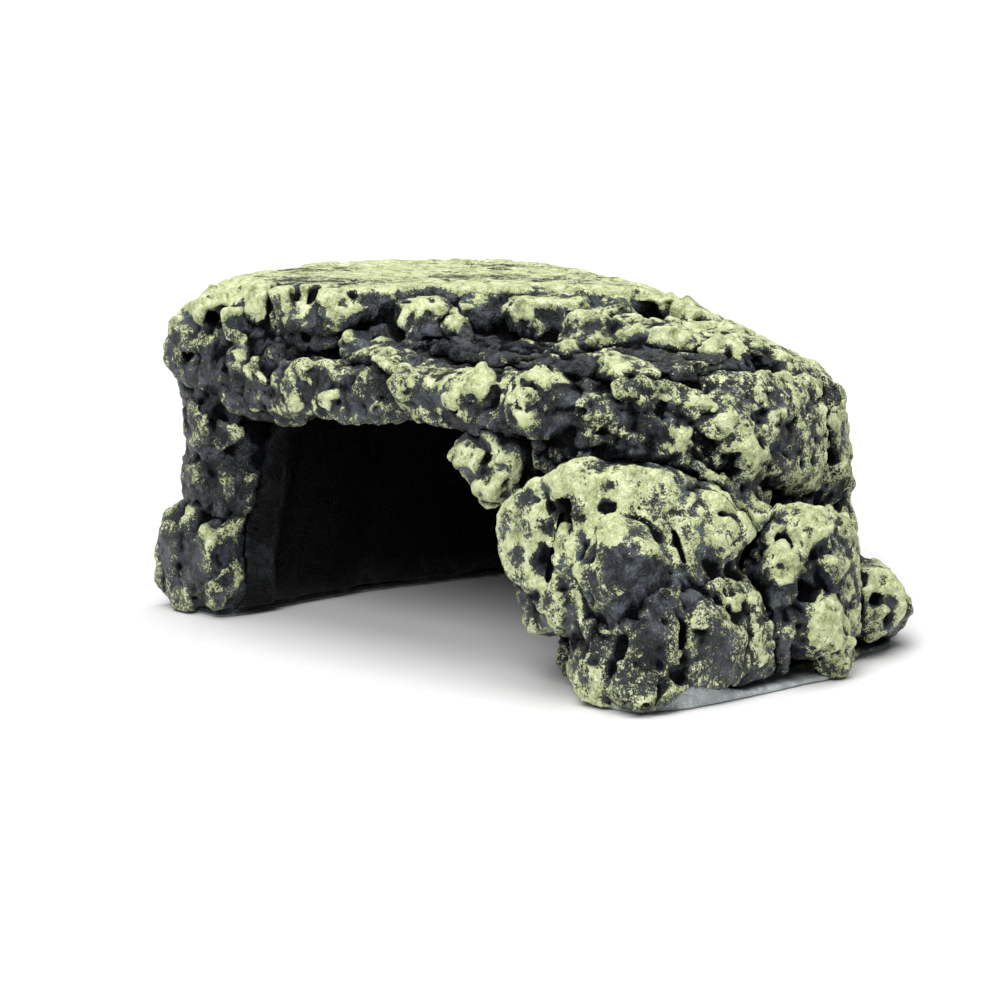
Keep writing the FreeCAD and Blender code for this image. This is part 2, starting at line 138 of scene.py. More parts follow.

# --- listed features: begin
# kind, centre x y z, half sizes across / into / up, roll, blend, facet flatness
STONES = {
    "left_foot_rock": [
        ("add", -49.92, -48.29, 8.05, 2.47, 3.82, 6.03, -4, 0.35, 0.95),
        ("add", -41.57, -48.29, 9.91, 2.33, 3.14, 4.66, 5, 0.35, 0.95),
        ("add", -40.67, -47.94, 3.72, 2.19, 2.84, 4.11, 0, 0.35, 0.95),
        ("add", -46.65, -48.62, 2.07, 3.56, 2.84, 2.74, -20, 0.35, 0.95),
        ("add", -45.96, -47.89, 13.03, 2.19, 2.34, 3.01, 0, 0.35, 0.95),
    ],
    "left_jamb_rock": [
        ("add", -39.28, -44.88, 27.96, 1.92, 2.47, 3.56, 0, 0.35, 0.88),
        ("add", -43.86, -46.86, 28.07, 2.47, 3.58, 5.48, 0, 0.35, 0.88),
        ("add", -40.51, -45.30, 20.14, 1.64, 2.59, 4.11, 0, 0.35, 0.88),
        ("add", -44.21, -46.73, 19.84, 1.92, 2.34, 3.29, 0, 0.35, 0.88),
    ],
    "left_cornice_rock": [
        ("add", -45.83, -47.08, 41.22, 3.01, 3.08, 3.84, 0, 0.35, 0.88),
        ("add", -42.06, -46.20, 45.19, 3.56, 2.96, 3.01, 0, 0.35, 0.88),
        ("add", -36.07, -46.20, 43.55, 3.84, 3.08, 3.01, -20, 0.35, 0.88),
        ("add", -43.24, -47.26, 36.03, 3.01, 2.71, 3.01, 0, 0.35, 0.88),
        ("add", -48.90, -47.58, 38.75, 1.92, 2.22, 3.01, 0, 0.35, 0.88),
        ("cut", -41.38, -47.39, 44.23, 1.23, 1.64, 1.23, 0, 0.3, 0.92),
        ("cut", -45.04, -48.36, 38.94, 1.37, 1.37, 1.92, 30, 0.3, 0.92),
        ("cut", -36.26, -48.02, 40.82, 3.56, 1.37, 0.82, -25, 0.3, 0.92),
    ],
    "brow_ledge": [
        ("add", -28.09, -48.49, 37.16, 5.75, 1.37, 1.10, 38, 0.35, 0.88),
        ("add", -20.33, -49.09, 35.43, 4.66, 1.37, 0.96, 22, 0.35, 0.88),
        ("add", -33.96, -48.02, 33.57, 3.56, 1.37, 0.96, 52, 0.35, 0.88),
        ("add", -11.48, -48.28, 36.01, 4.11, 1.37, 1.10, -6, 0.35, 0.88),
        ("add", -16.90, -48.49, 38.03, 3.56, 1.37, 0.96, 30, 0.35, 0.88),
        ("add", -5.70, -46.20, 36.99, 3.29, 2.34, 1.92, 0, 0.35, 0.88),
        ("add", -34.71, -47.34, 38.98, 2.74, 1.97, 1.64, -10, 0.35, 0.88),
        ("cut", -14.56, -48.75, 34.58, 0.82, 1.37, 0.82, 0, 0.3, 0.92),
        ("cut", -26.68, -48.12, 39.31, 1.10, 1.37, 0.96, 0, 0.3, 0.92),
        ("cut", -10.58, -48.48, 35.13, 0.68, 1.10, 0.68, 0, 0.3, 0.92),
        ("cut", -8.22, -47.82, 37.89, 1.64, 1.10, 1.10, 0, 0.3, 0.92),
        ("cut", -19.26, -48.46, 39.23, 2.19, 1.23, 0.82, 10, 0.3, 0.92),
    ],
    "upper_knob_ledge": [
        ("add", -10.72, -32.92, 45.10, 4.58, 4.58, 4.15, -8, 0.25, 0.85),
        ("add", -2.94, -33.08, 45.00, 1.85, 3.41, 3.12, 0, 0.25, 0.85),
        ("add", -7.14, -24.50, 44.90, 4.46, 4.60, 4.46, 5, 0.25, 0.85),
        ("add", 3.91, -20.21, 44.60, 7.70, 5.71, 4.71, 26, 0.25, 0.93),
        ("add", 17.94, -26.18, 44.20, 4.75, 4.19, 3.35, 36, 0.25, 0.85),
        ("add", 23.75, -43.00, 45.10, 3.55, 2.46, 1.77, 0, 0.25, 0.85),
        ("add", 21.00, -18.59, 44.00, 6.17, 4.77, 3.92, 8, 0.25, 0.85),
        ("add", 26.72, -18.72, 45.00, 3.06, 3.34, 2.51, 0, 0.25, 0.85),
        ("add", 33.33, -34.00, 42.55, 4.63, 3.54, 2.04, 0, 0.25, 0.85),
        ("add", 9.15, -13.63, 46.00, 3.99, 3.99, 2.57, 14, 0.25, 0.85),
        ("add", 18.65, -24.93, 40.50, 8.39, 8.39, 1.40, 4, 0.25, 0.85),
        ("cut", -4.76, -32.31, 43.04, 0.96, 1.64, 1.92, 0, 0.3, 0.92),
        ("cut", 1.55, -26.46, 42.88, 1.10, 1.64, 1.92, 0, 0.3, 0.92),
        ("cut", 16.22, -19.75, 41.78, 1.10, 1.64, 1.51, 10, 0.3, 0.92),
        ("cut", -6.79, -24.05, 44.77, 1.78, 1.10, 1.78, 8, 0.3, 0.92),
        ("cut", -0.30, -15.18, 44.96, 2.05, 1.10, 1.37, 32, 0.3, 0.92),
        ("cut", 9.44, -18.24, 42.84, 1.78, 1.10, 1.23, 36, 0.3, 0.92),
        ("cut", -12.08, -31.24, 44.56, 1.51, 1.10, 1.23, 0, 0.3, 0.92),
        ("cut", 17.06, -15.94, 42.40, 2.74, 1.23, 1.51, 6, 0.3, 0.92),
    ],
    "lintel_ledge": [
        ("add", 3.11, -46.89, 38.57, 2.74, 2.59, 3.01, -5, 0.35, 0.88),
        ("add", 14.15, -46.70, 37.78, 2.05, 1.85, 2.05, 20, 0.35, 0.88),
        ("add", 18.26, -45.32, 39.76, 2.05, 2.22, 2.88, 0, 0.35, 0.88),
        ("add", 9.77, -31.30, 42.39, 2.47, 1.79, 1.51, 0, 0.35, 0.88),
        ("add", 26.17, -41.67, 38.34, 5.48, 4.11, 4.66, 0, 0.35, 0.88),
        ("add", 23.96, -42.82, 36.00, 2.47, 2.47, 3.01, 0, 0.35, 0.88),
        ("add", 27.50, -38.29, 35.27, 2.74, 2.34, 2.47, 0, 0.35, 0.88),
        ("cut", 10.14, -31.62, 42.90, 1.64, 2.19, 0.68, 0, 0.3, 0.92),
        ("cut", 6.53, -47.38, 37.45, 0.55, 1.10, 0.55, 0, 0.3, 0.92),
        ("cut", 13.48, -47.05, 36.92, 0.82, 1.37, 0.96, 20, 0.3, 0.92),
    ],
    "hanging_rock": [
        ("add", 16.33, -45.31, 29.54, 3.56, 2.96, 3.01, 0, 0.35, 0.88),
        ("add", 18.87, -44.04, 27.21, 3.84, 3.45, 3.84, 20, 0.35, 0.88),
        ("add", 21.38, -42.76, 30.85, 2.19, 2.10, 2.47, 0, 0.35, 0.88),
        ("add", 16.23, -43.06, 23.99, 1.92, 1.60, 1.64, 0, 0.35, 0.88),
    ],
    "strata_block": [
        ("add", 42.02, -23.53, 34.51, 4.93, 4.44, 4.93, 10, 0.35, 0.88),
        ("add", 43.65, -20.69, 30.56, 3.29, 2.71, 2.74, 0, 0.35, 0.88),
        ("add", 40.21, -27.78, 38.43, 4.11, 2.71, 1.92, 10, 0.35, 0.88),
        ("add", 36.82, -33.89, 40.41, 4.93, 2.96, 1.64, 4, 0.35, 0.88),
        ("add", 34.71, -37.44, 37.36, 3.56, 2.47, 1.92, 0, 0.35, 0.88),
        ("add", 41.38, -30.62, 34.32, 1.37, 1.48, 1.92, 25, 0.35, 0.88),
        ("add", 41.66, -25.74, 28.63, 1.23, 4.11, 3.56, -34, 0.15, 0.9),
        ("add", 42.11, -24.09, 27.27, 1.23, 4.11, 3.56, -34, 0.15, 0.9),
        ("add", 42.56, -22.45, 25.91, 1.23, 4.11, 3.56, -34, 0.15, 0.9),
        ("add", 43.03, -20.81, 24.55, 1.23, 4.11, 3.56, -34, 0.15, 0.9),
        ("add", 44.21, -19.85, 23.35, 1.23, 4.11, 3.56, -34, 0.15, 0.9),
    ],
    "front_boulder": [
        ("add", 30.90, -46.50, 20.03, 5.21, 4.93, 9.04, -8, 0.35, 0.92),
        ("add", 36.62, -43.11, 27.63, 6.30, 4.93, 4.11, 8, 0.35, 0.93),
        ("add", 44.82, -31.76, 22.00, 8.49, 6.85, 7.12, 0, 0.35, 0.95),
        ("add", 45.55, -44.20, 18.04, 6.03, 4.66, 7.95, 0, 0.35, 0.91),
        ("add", 35.72, -47.97, 12.76, 3.01, 3.21, 4.11, -20, 0.35, 0.88),
        ("cut", 42.49, -45.54, 23.32, 1.37, 1.10, 0.55, 0, 0.3, 0.92),
        ("cut", 27.20, -46.31, 25.98, 2.05, 1.10, 1.92, 0, 0.2, 0.92),
        ("cut", 36.95, -46.56, 25.86, 2.88, 1.23, 2.05, -10, 0.2, 0.92),
        ("cut", 42.07, -44.63, 26.56, 1.64, 0.96, 1.37, 0, 0.3, 0.92),
        ("cut", 34.37, -49.65, 18.76, 1.64, 0.96, 3.01, 10, 0.3, 0.92),
        ("cut", 28.06, -48.49, 18.33, 1.23, 0.82, 1.92, 0, 0.3, 0.92),
        ("cut", 30.96, -44.20, 29.52, 1.64, 0.82, 1.10, -10, 0.2, 0.92),
        ("cut", 42.84, -46.33, 11.08, 1.78, 2.74, 4.11, 12, 0.5, 0.92),
        ("cut", 49.96, -34.70, 15.05, 5.75, 4.11, 1.23, -6, 0.5, 0.92),
        ("cut", 47.64, -43.48, 15.77, 1.37, 0.96, 2.74, 0, 0.3, 0.92),
    ],
    "front_foot_rock": [
        ("add", 44.61, -47.92, 3.14, 3.56, 3.33, 3.84, 0, 0.35, 0.88),
        ("add", 51.07, -44.46, 9.65, 4.66, 3.56, 5.21, 0, 0.35, 0.88),
        ("add", 52.07, -35.67, 7.10, 6.30, 4.66, 6.03, 0, 0.35, 0.9),
        ("add", 50.86, -45.50, 2.73, 5.48, 3.70, 2.74, 0, 0.35, 0.88),
        ("add", 53.68, -37.77, 11.86, 3.01, 2.74, 1.51, -15, 0.35, 0.88),
        ("add", 53.07, -31.53, 13.19, 1.92, 2.19, 0.96, -10, 0.35, 0.88),
        ("cut", 48.75, -47.85, 8.61, 1.78, 1.51, 2.19, 14, 0.6, 0.92),
        ("cut", 53.38, -41.65, 10.40, 1.10, 1.51, 2.74, -8, 0.6, 0.92),
        ("cut", 52.39, -46.80, 3.32, 4.11, 0.82, 1.92, -18, 0.3, 0.92),
    ],
    "side_rock": [
        ("add", 48.10, -14.46, 20.07, 4.93, 3.82, 3.56, 0, 0.35, 0.88),
        ("add", 49.35, -19.37, 15.94, 3.01, 3.45, 4.66, 0, 0.35, 0.88),
        ("add", 50.13, -11.54, 14.43, 2.47, 3.21, 4.66, 0, 0.35, 0.88),
        ("add", 51.11, -14.34, 7.95, 4.38, 4.07, 4.66, 0, 0.35, 0.88),
        ("add", 50.95, -10.25, 2.51, 3.29, 2.84, 3.01, 0, 0.35, 0.88),
        ("add", 49.81, -21.64, 6.60, 2.74, 3.70, 5.48, 0, 0.35, 0.88),
        ("cut", 49.58, -19.14, 19.66, 1.23, 1.64, 1.51, 0, 0.3, 0.92),
        ("cut", 50.54, -19.07, 16.04, 0.82, 1.37, 0.96, 0, 0.3, 0.92),
        ("cut", 51.48, -16.52, 13.10, 2.19, 1.64, 1.92, 0, 0.3, 0.92),
        ("cut", 52.18, -15.27, 10.68, 0.68, 1.10, 0.55, 0, 0.3, 0.92),
        ("cut", 52.48, -12.30, 9.80, 0.55, 1.10, 1.10, 0, 0.3, 0.92),
        ("cut", 52.39, -14.08, 6.80, 1.23, 1.37, 1.64, 0, 0.3, 0.92),
    ],
    "rear_foot_rock": [
        ("add", 43.70, 7.24, 8.92, 3.01, 2.96, 3.56, 0, 0.35, 0.88),
        ("add", 43.46, 3.55, 6.47, 1.64, 2.47, 3.84, 0, 0.35, 0.88),
        ("add", 44.46, 7.96, 5.64, 1.92, 1.97, 2.47, 0, 0.35, 0.88),
        ("cut", 45.16, 3.35, 8.42, 1.10, 1.37, 1.10, 0, 0.3, 0.92),
        ("cut", 45.77, 5.37, 5.11, 0.82, 1.37, 1.37, 0, 0.3, 0.92),
    ],
    "right_mid_rock": [
        ("add", 38.13, 4.06, 19.56, 1.92, 2.47, 3.56, 0, 0.35, 0.88),
        ("add", 34.91, 3.25, 21.39, 2.74, 2.47, 2.74, 0, 0.35, 0.88),
    ],
    "right_shoulder_rock": [
        ("add", 28.07, 1.73, 37.21, 4.11, 3.70, 4.11, 10, 0.35, 0.88),
        ("add", 34.49, 3.39, 35.61, 3.56, 3.33, 3.84, 30, 0.35, 0.88),
        ("add", 36.94, 3.69, 31.59, 2.74, 2.34, 2.47, 0, 0.35, 0.88),
        ("add", 33.66, -2.59, 29.68, 3.84, 3.95, 4.93, 0, 0.35, 0.88),
        ("add", 37.69, 3.01, 26.05, 2.19, 1.97, 2.19, 0, 0.35, 0.88),
        ("cut", 28.30, -0.85, 34.22, 1.92, 1.92, 3.29, 5, 0.3, 0.92),
        ("cut", 38.78, -2.69, 29.32, 0.82, 2.19, 3.84, 0, 0.3, 0.92),
        ("cut", 38.85, 1.18, 28.23, 1.37, 1.64, 1.23, 0, 0.3, 0.92),
        ("cut", 31.98, -3.50, 27.18, 1.64, 1.10, 1.64, 0, 0.3, 0.92),
    ],
    "shoulder_slab": [
        ("add", 32.83, -12.52, 41.66, 4.11, 5.48, 2.05, 18, 0.35, 0.88),
        ("add", 34.24, -7.52, 40.25, 3.84, 5.48, 2.05, 22, 0.35, 0.88),
        ("add", 34.40, -2.21, 38.10, 3.01, 4.93, 2.05, 30, 0.35, 0.88),
        ("add", 31.60, -17.05, 41.66, 3.29, 4.93, 1.64, 8, 0.35, 0.88),
        ("add", 3.90, -2.29, 46.59, 5.48, 8.22, 1.92, 12, 0.35, 0.88),
        ("add", 8.12, 1.67, 44.79, 4.66, 8.22, 2.47, 25, 0.35, 0.88),
        ("add", 30.32, -14.06, 43.75, 4.11, 5.48, 1.64, 20, 0.35, 0.88),
        ("cut", 7.30, -7.14, 46.02, 3.56, 4.11, 1.92, 0, 0.3, 0.92),
    ],
    "roof_slab": [
        ("add", -33.41, -44.19, 47.00, 1.64, 2.74, 3.84, 5, 0.35, 0.88),
        ("add", -27.91, -44.26, 47.08, 1.37, 2.47, 4.11, 0, 0.35, 0.88),
        ("add", -21.38, -40.82, 46.41, 2.05, 2.74, 4.11, 12, 0.35, 0.88),
        ("add", -27.48, -40.40, 49.75, 1.92, 1.60, 1.64, 0, 0.35, 0.88),
        ("cut", -19.56, -38.64, 49.35, 0.82, 1.37, 1.10, 0, 0.3, 0.92),
    ],
}
# groove from, to, radius, depth
GROOVES = {
    "front_boulder": [
        (37.90, -47.21, 23.87, 40.36, -47.00, 8.89, 0.47, 3.6),
        (36.08, -47.23, 24.73, 35.56, -49.25, 15.87, 0.41, 2),
        (48.44, -38.12, 23.14, 50.31, -37.98, 19.29, 0.33, 1.4),
        (48.52, -41.61, 19.74, 48.97, -39.62, 14.13, 0.41, 1.5),
    ],
    "roof_slab": [
        (-30.78, -44.48, 49.08, -30.20, -45.71, 44.14, 0.44, 1.6),
        (-27.84, -42.18, 49.90, -24.87, -45.30, 43.16, 0.38, 1.6),
        (-26.14, -40.03, 49.88, -23.03, -44.38, 42.54, 0.82, 2.2),
        (-29.48, -44.38, 49.48, -28.23, -45.59, 43.59, 0.27, 0.9),
    ],
}
# paint touches: x, y, z, reach, amount (positive brushed, negative bare)
TOUCHES = [
    (-9.31, -35.12, 48.09, 1.92, 0.6),
    (-10.33, -36.99, 46.17, 1.10, 0.6),
    (-6.72, -26.96, 48.40, 1.64, 0.6),
    (-0.59, -34.13, 47.06, 0.96, 0.6),
    (5.09, -23.75, 49.37, 3.01, 0.6),
    (3.27, -25.78, 47.87, 1.37, 0.5),
    (20.58, -27.12, 45.86, 2.74, 0.4),
    (28.84, -21.70, 45.83, 2.47, 0.7),
    (29.11, -26.75, 44.23, 2.47, -0.8),
    (-3.27, -26.95, 46.17, 1.78, -1.1),
    (7.06, -22.00, 48.20, 1.64, -1.1),
    (18.99, -26.40, 46.85, 1.51, -1.1),
    (-9.00, -34.25, 48.66, 1.37, 0.5),
    (-6.05, -25.91, 49.07, 1.64, 0.6),
    (2.86, -26.29, 49.16, 1.64, 0.6),
    (34.20, -36.28, 44.20, 1.92, 0.5),
    (1.13, -36.81, 44.34, 1.92, -1.2),
    (6.33, -31.10, 43.32, 1.64, -1.2),
    (27.76, -37.25, 42.74, 3.56, -1.4),
    (-3.19, -37.23, 43.00, 2.74, -0.8),
    (11.79, -30.49, 43.05, 3.01, -0.6),
    (10.67, -14.11, 48.78, 2.74, -0.6),
    (28.09, -43.00, 42.34, 2.74, 0.5),
    (26.64, -46.33, 37.88, 1.64, 0.5),
    (31.05, -42.97, 36.31, 2.19, -0.7),
    (19.78, -47.00, 40.91, 1.37, 0.3),
    (5.17, -48.98, 38.88, 1.64, -0.2),
    (-33.11, -49.72, 39.93, 2.47, 0.7),
    (-29.05, -48.61, 34.61, 1.92, 0.5),
    (-18.59, -49.77, 34.61, 2.19, 0.4),
    (-14.07, -48.51, 36.99, 2.19, -0.4),
    (-4.30, -47.38, 37.92, 4.11, -0.5),
    (-39.68, -47.67, 48.08, 4.11, 0.6),
    (-46.03, -49.84, 39.37, 1.64, 0.3),
    (-35.83, -46.24, 46.94, 2.74, 0.4),
    (-23.37, -45.01, 45.39, 4.11, -1.3),
    (-26.99, -46.19, 48.21, 2.19, -0.8),
    (-19.41, -41.71, 43.66, 1.37, 0.8),
    (-15.84, -32.44, 48.82, 1.92, -0.9),
    (-14.30, -28.87, 49.23, 2.19, -0.9),
    (-8.29, -26.61, 49.12, 2.19, -0.9),
    (-5.91, -22.67, 48.86, 2.19, -0.9),
    (-4.69, -17.12, 48.55, 2.19, -0.9),
    (3.95, -17.23, 49.35, 1.92, -0.9),
    (-17.44, -36.65, 47.90, 2.47, -1),
    (20.35, -46.29, 28.27, 4.66, 0.5),
    (44.98, -26.65, 35.71, 4.11, 0.4),
    (42.30, -31.43, 34.27, 1.64, 0.7),
    (37.00, -37.94, 36.96, 5.48, -0.6),
    (40.61, -33.89, 32.55, 4.11, -0.3),
    (45.05, -21.31, 37.30, 2.19, 0.3),
    (39.19, 1.91, 32.91, 2.19, 0.8),
    (42.69, -12.49, 41.86, 3.29, 0.4),
    (45.05, -14.85, 34.27, 3.01, -0.6),
    (13.84, -3.05, 46.52, 4.11, 0.5),
    (49.90, -34.91, 24.41, 6.30, 0.7),
    (44.60, -40.89, 28.36, 4.66, 0.4),
    (40.33, -44.44, 30.21, 3.29, 0.3),
    (30.81, -49.90, 22.71, 2.74, 0.35),
    (45.78, -47.74, 24.77, 2.19, 0.7),
    (35.16, -47.13, 24.09, 2.19, -0.3),
    (38.97, -47.56, 26.11, 1.92, -1),
    (31.49, -49.43, 26.68, 1.37, -1),
    (41.06, -43.52, 26.45, 1.10, -0.9),
    (33.06, -48.74, 18.21, 1.51, -0.9),
    (29.79, -49.90, 18.97, 1.10, -0.8),
    (47.84, -48.49, 20.00, 3.56, -1),
    (50.68, -44.77, 17.95, 3.29, -1),
    (52.89, -39.36, 15.41, 3.29, -0.8),
    (29.79, -49.90, 21.69, 2.47, 0.5),
    (32.85, -49.89, 15.91, 2.19, 0.45),
    (35.91, -49.90, 12.17, 1.64, 0.5),
    (35.57, -48.53, 29.85, 2.19, 0.5),
    (34.55, -48.61, 20.98, 1.64, 0.3),
    (32.72, -48.35, 26.98, 1.37, 0.3),
    (54.76, -39.46, 12.51, 2.19, 0.9),
    (54.17, -32.56, 13.19, 1.64, 0.9),
    (54.10, -46.98, 12.34, 3.56, -1.2),
    (50.03, -45.98, 15.23, 2.74, -1),
    (53.77, -47.67, 3.57, 4.11, -1),
    (46.11, -49.89, 2.99, 1.92, 0.5),
    (54.90, -33.21, 6.73, 2.47, 0.5),
    (53.78, -27.36, 6.96, 2.19, 0.6),
    (54.90, -36.61, 5.03, 1.64, 0.4),
    (54.50, -40.56, 7.83, 1.92, -0.2),
    (54.13, -38.65, 2.77, 1.37, 0.3),
    (50.18, -16.19, 22.40, 3.56, 0.8),
    (54.82, -13.48, 8.46, 2.19, 0.7),
    (45.59, -11.60, 0.78, 2.74, 0.5),
    (53.44, -12.37, 3.44, 2.19, 0.5),
    (52.19, -18.62, 13.87, 3.01, -0.7),
    (51.00, -22.82, 12.30, 2.47, -0.7),
    (54.17, -14.51, 11.75, 1.92, -0.4),
    (52.67, -18.93, 9.45, 1.64, -0.3),
    (46.23, 4.75, 10.13, 2.47, 0.5),
    (47.95, -2.48, 9.79, 1.37, -0.5),
    (46.24, -3.20, 20.33, 1.92, 0.4),
    (-37.67, -45.98, 29.62, 1.92, 0.4),
    (-41.09, -49.03, 26.59, 1.92, 0),
    (-49.09, -49.90, 8.43, 1.64, 0.5),
    (-39.91, -49.87, 11.83, 1.10, 0.5),
    (-46.03, -49.83, 3.67, 1.37, 0.4),
    (-10.64, -37.16, 45.52, 0.82, 0.8),
    (-10.67, -36.89, 46.51, 0.82, 0.8),
    (-10.67, -36.40, 47.31, 0.82, 0.8),
    (-10.33, -35.38, 48.02, 0.82, 0.8),
    (-9.31, -34.82, 48.46, 0.82, 0.8),
    (-9.00, -34.25, 48.66, 0.82, 0.8),
    (-7.59, -33.18, 48.31, 0.82, 0.8),
    (-5.90, -33.58, 47.94, 0.82, 0.8),
    (-5.38, -33.43, 47.47, 0.82, 0.8),
    (-2.51, -35.06, 46.65, 0.82, 0.8),
    (-1.83, -35.47, 45.74, 0.82, 0.8),
    (2.82, -35.44, 43.98, 0.82, 0.9),
    (1.23, -34.87, 44.34, 0.82, 0.9),
    (-0.37, -34.92, 45.17, 0.82, 0.9),
    (-0.57, -34.92, 46.16, 0.82, 0.9),
    (-0.79, -34.24, 47.12, 0.82, 0.9),
    (-6.93, -28.56, 47.53, 0.82, 0.9),
    (-6.50, -28.24, 48.03, 0.82, 0.9),
    (-6.34, -26.64, 48.44, 0.82, 0.9),
    (-5.36, -26.35, 48.80, 0.82, 0.9),
    (-5.88, -24.68, 48.54, 0.82, 0.9),
    (-5.68, -23.30, 48.55, 0.82, 0.9),
    (-0.73, -25.95, 48.12, 0.82, 0.9),
    (2.59, -25.97, 46.76, 0.96, 0.9),
    (2.25, -25.86, 47.79, 0.96, 0.9),
    (2.82, -26.28, 48.69, 0.96, 0.9),
    (3.12, -25.98, 49.23, 0.96, 0.9),
    (3.11, -25.55, 49.41, 0.96, 0.9),
    (1.33, -23.01, 49.23, 0.96, 0.9),
    (4.63, -23.69, 49.61, 0.96, 0.9),
    (4.63, -23.01, 49.53, 0.96, 0.9),
    (5.28, -22.00, 49.31, 0.96, 0.9),
    (6.75, -21.31, 49.01, 0.96, 0.9),
    (7.67, -20.89, 48.54, 0.96, 0.9),
    (16.87, -27.09, 49.26, 0.96, 0.9),
    (17.98, -27.09, 48.64, 0.96, 0.9),
    (18.24, -26.07, 47.87, 0.96, 0.9),
    (18.76, -25.73, 47.03, 0.96, 0.9),
    (19.91, -26.07, 46.17, 0.96, 0.9),
    (20.70, -26.38, 45.48, 0.96, 0.9),
    (20.93, -26.77, 44.71, 0.96, 0.9),
    (24.13, -29.38, 44.70, 0.96, 0.9),
    (25.25, -31.08, 44.31, 0.96, 0.9),
    (23.39, -33.41, 43.66, 0.68, 0.5),
    (21.62, -33.43, 43.42, 0.68, 0.5),
    (21.13, -34.10, 43.63, 0.68, 0.5),
    (20.95, -34.96, 43.90, 0.68, 0.5),
    (19.59, -34.81, 44.03, 0.68, 0.5),
    (15.94, -32.71, 43.96, 0.68, 0.5),
    (9.39, -28.11, 43.42, 0.68, 0.5),
    (8.11, -28.79, 43.93, 0.68, 0.5),
    (21.97, -25.39, 44.39, 0.82, 0.7),
    (20.76, -24.71, 44.94, 0.82, 0.7),
    (21.07, -23.48, 45.49, 0.82, 0.7),
    (21.63, -22.88, 46.04, 0.82, 0.7),
    (22.30, -22.36, 46.49, 0.82, 0.7),
    (23.22, -21.54, 46.85, 0.82, 0.7),
    (24.23, -20.87, 46.70, 0.82, 0.7),
    (27.31, -22.23, 47.19, 0.82, 0.7),
    (28.12, -21.60, 46.87, 0.82, 0.7),
    (28.66, -21.53, 46.44, 0.82, 0.7),
    (29.45, -20.52, 46.05, 0.82, 0.7),
    (29.99, -20.49, 45.49, 0.82, 0.7),
    (4.63, -48.76, 37.12, 0.68, 0.7),
    (4.84, -49.42, 37.91, 0.68, 0.7),
    (4.87, -49.45, 39.03, 0.68, 0.7),
    (5.28, -48.47, 39.71, 0.68, 0.7),
    (5.45, -48.18, 39.73, 0.68, 0.7),
    (5.52, -47.15, 39.93, 0.68, 0.7),
    (7.35, -47.25, 40.16, 0.68, 0.7),
    (8.50, -46.94, 39.85, 0.68, 0.7),
    (9.60, -46.96, 39.84, 0.68, 0.7),
    (10.75, -47.48, 39.37, 0.68, 0.7),
    (12.45, -48.47, 38.69, 0.68, 0.7),
    (11.84, -48.05, 37.67, 0.68, 0.7),
    (10.07, -47.02, 36.31, 0.68, 0.7),
    (8.38, -46.37, 35.62, 0.68, 0.7),
    (14.82, -47.60, 36.30, 0.68, 0.7),
    (14.52, -48.30, 36.96, 0.68, 0.7),
    (14.23, -48.64, 37.67, 0.68, 0.7),
    (14.25, -48.70, 38.35, 0.68, 0.7),
    (14.64, -48.69, 39.20, 0.68, 0.7),
    (14.83, -48.33, 39.53, 0.68, 0.7),
    (16.22, -48.04, 40.37, 0.68, 0.7),
    (17.56, -48.05, 40.37, 0.68, 0.7),
    (18.57, -47.94, 40.02, 0.68, 0.7),
    (18.57, -47.63, 39.26, 0.68, 0.7),
    (18.58, -47.60, 41.10, 0.68, 0.7),
    (18.59, -47.15, 41.76, 0.68, 0.7),
    (18.89, -46.38, 42.41, 0.68, 0.7),
    (19.22, -46.10, 42.41, 0.68, 0.7),
    (19.54, -45.79, 42.36, 0.68, 0.7),
    (20.04, -45.45, 41.84, 0.68, 0.7),
    (20.96, -45.04, 41.07, 0.68, 0.7),
    (21.29, -45.04, 40.73, 0.68, 0.7),
    (21.29, -45.19, 39.42, 0.68, 0.7),
    (21.29, -45.38, 39.03, 0.68, 0.7),
    (27.60, -46.65, 36.21, 0.82, 0.9),
    (26.73, -46.77, 36.65, 0.82, 0.9),
    (26.22, -46.98, 37.50, 0.82, 0.9),
    (25.28, -46.59, 37.77, 0.82, 0.9),
    (24.69, -46.23, 39.06, 0.82, 0.9),
    (24.67, -46.18, 39.69, 0.82, 0.9),
    (25.35, -46.21, 40.39, 0.82, 0.9),
    (24.67, -45.11, 41.02, 0.82, 0.9),
    (25.29, -44.61, 42.25, 0.82, 0.9),
    (26.05, -44.18, 42.44, 0.82, 0.9),
    (26.90, -43.57, 42.92, 0.82, 0.9),
    (27.75, -42.73, 42.75, 0.82, 0.9),
    (27.96, -42.05, 42.65, 0.82, 0.9),
    (28.63, -41.23, 42.31, 0.82, 0.9),
    (29.08, -40.37, 41.80, 0.82, 0.9),
    (29.36, -39.67, 41.03, 0.82, 0.9),
    (-34.81, -48.54, 40.73, 0.68, 0.8),
    (-32.78, -49.58, 40.03, 0.68, 0.8),
    (-32.21, -49.39, 39.63, 0.68, 0.8),
    (-30.39, -49.87, 38.35, 0.68, 0.8),
    (-29.71, -49.88, 38.01, 0.68, 0.8),
    (-29.15, -49.73, 36.99, 0.68, 0.8),
    (-29.14, -49.06, 36.06, 0.68, 0.8),
    (-28.35, -48.62, 35.24, 0.68, 0.8),
    (-27.31, -49.53, 37.70, 0.68, 0.8),
    (-26.60, -49.19, 36.99, 0.68, 0.8),
    (-25.29, -48.81, 36.99, 0.68, 0.8),
    (-24.27, -48.70, 36.31, 0.68, 0.8),
    (-21.89, -49.86, 35.97, 0.68, 0.8),
    (-20.87, -49.90, 35.29, 0.68, 0.8),
    (-19.17, -49.90, 34.95, 0.68, 0.8),
    (-18.31, -49.38, 34.35, 0.68, 0.8),
    (-17.44, -49.44, 37.98, 0.55, 0.6),
    (-16.48, -49.21, 37.70, 0.55, 0.6),
    (-16.03, -48.97, 37.33, 0.55, 0.6),
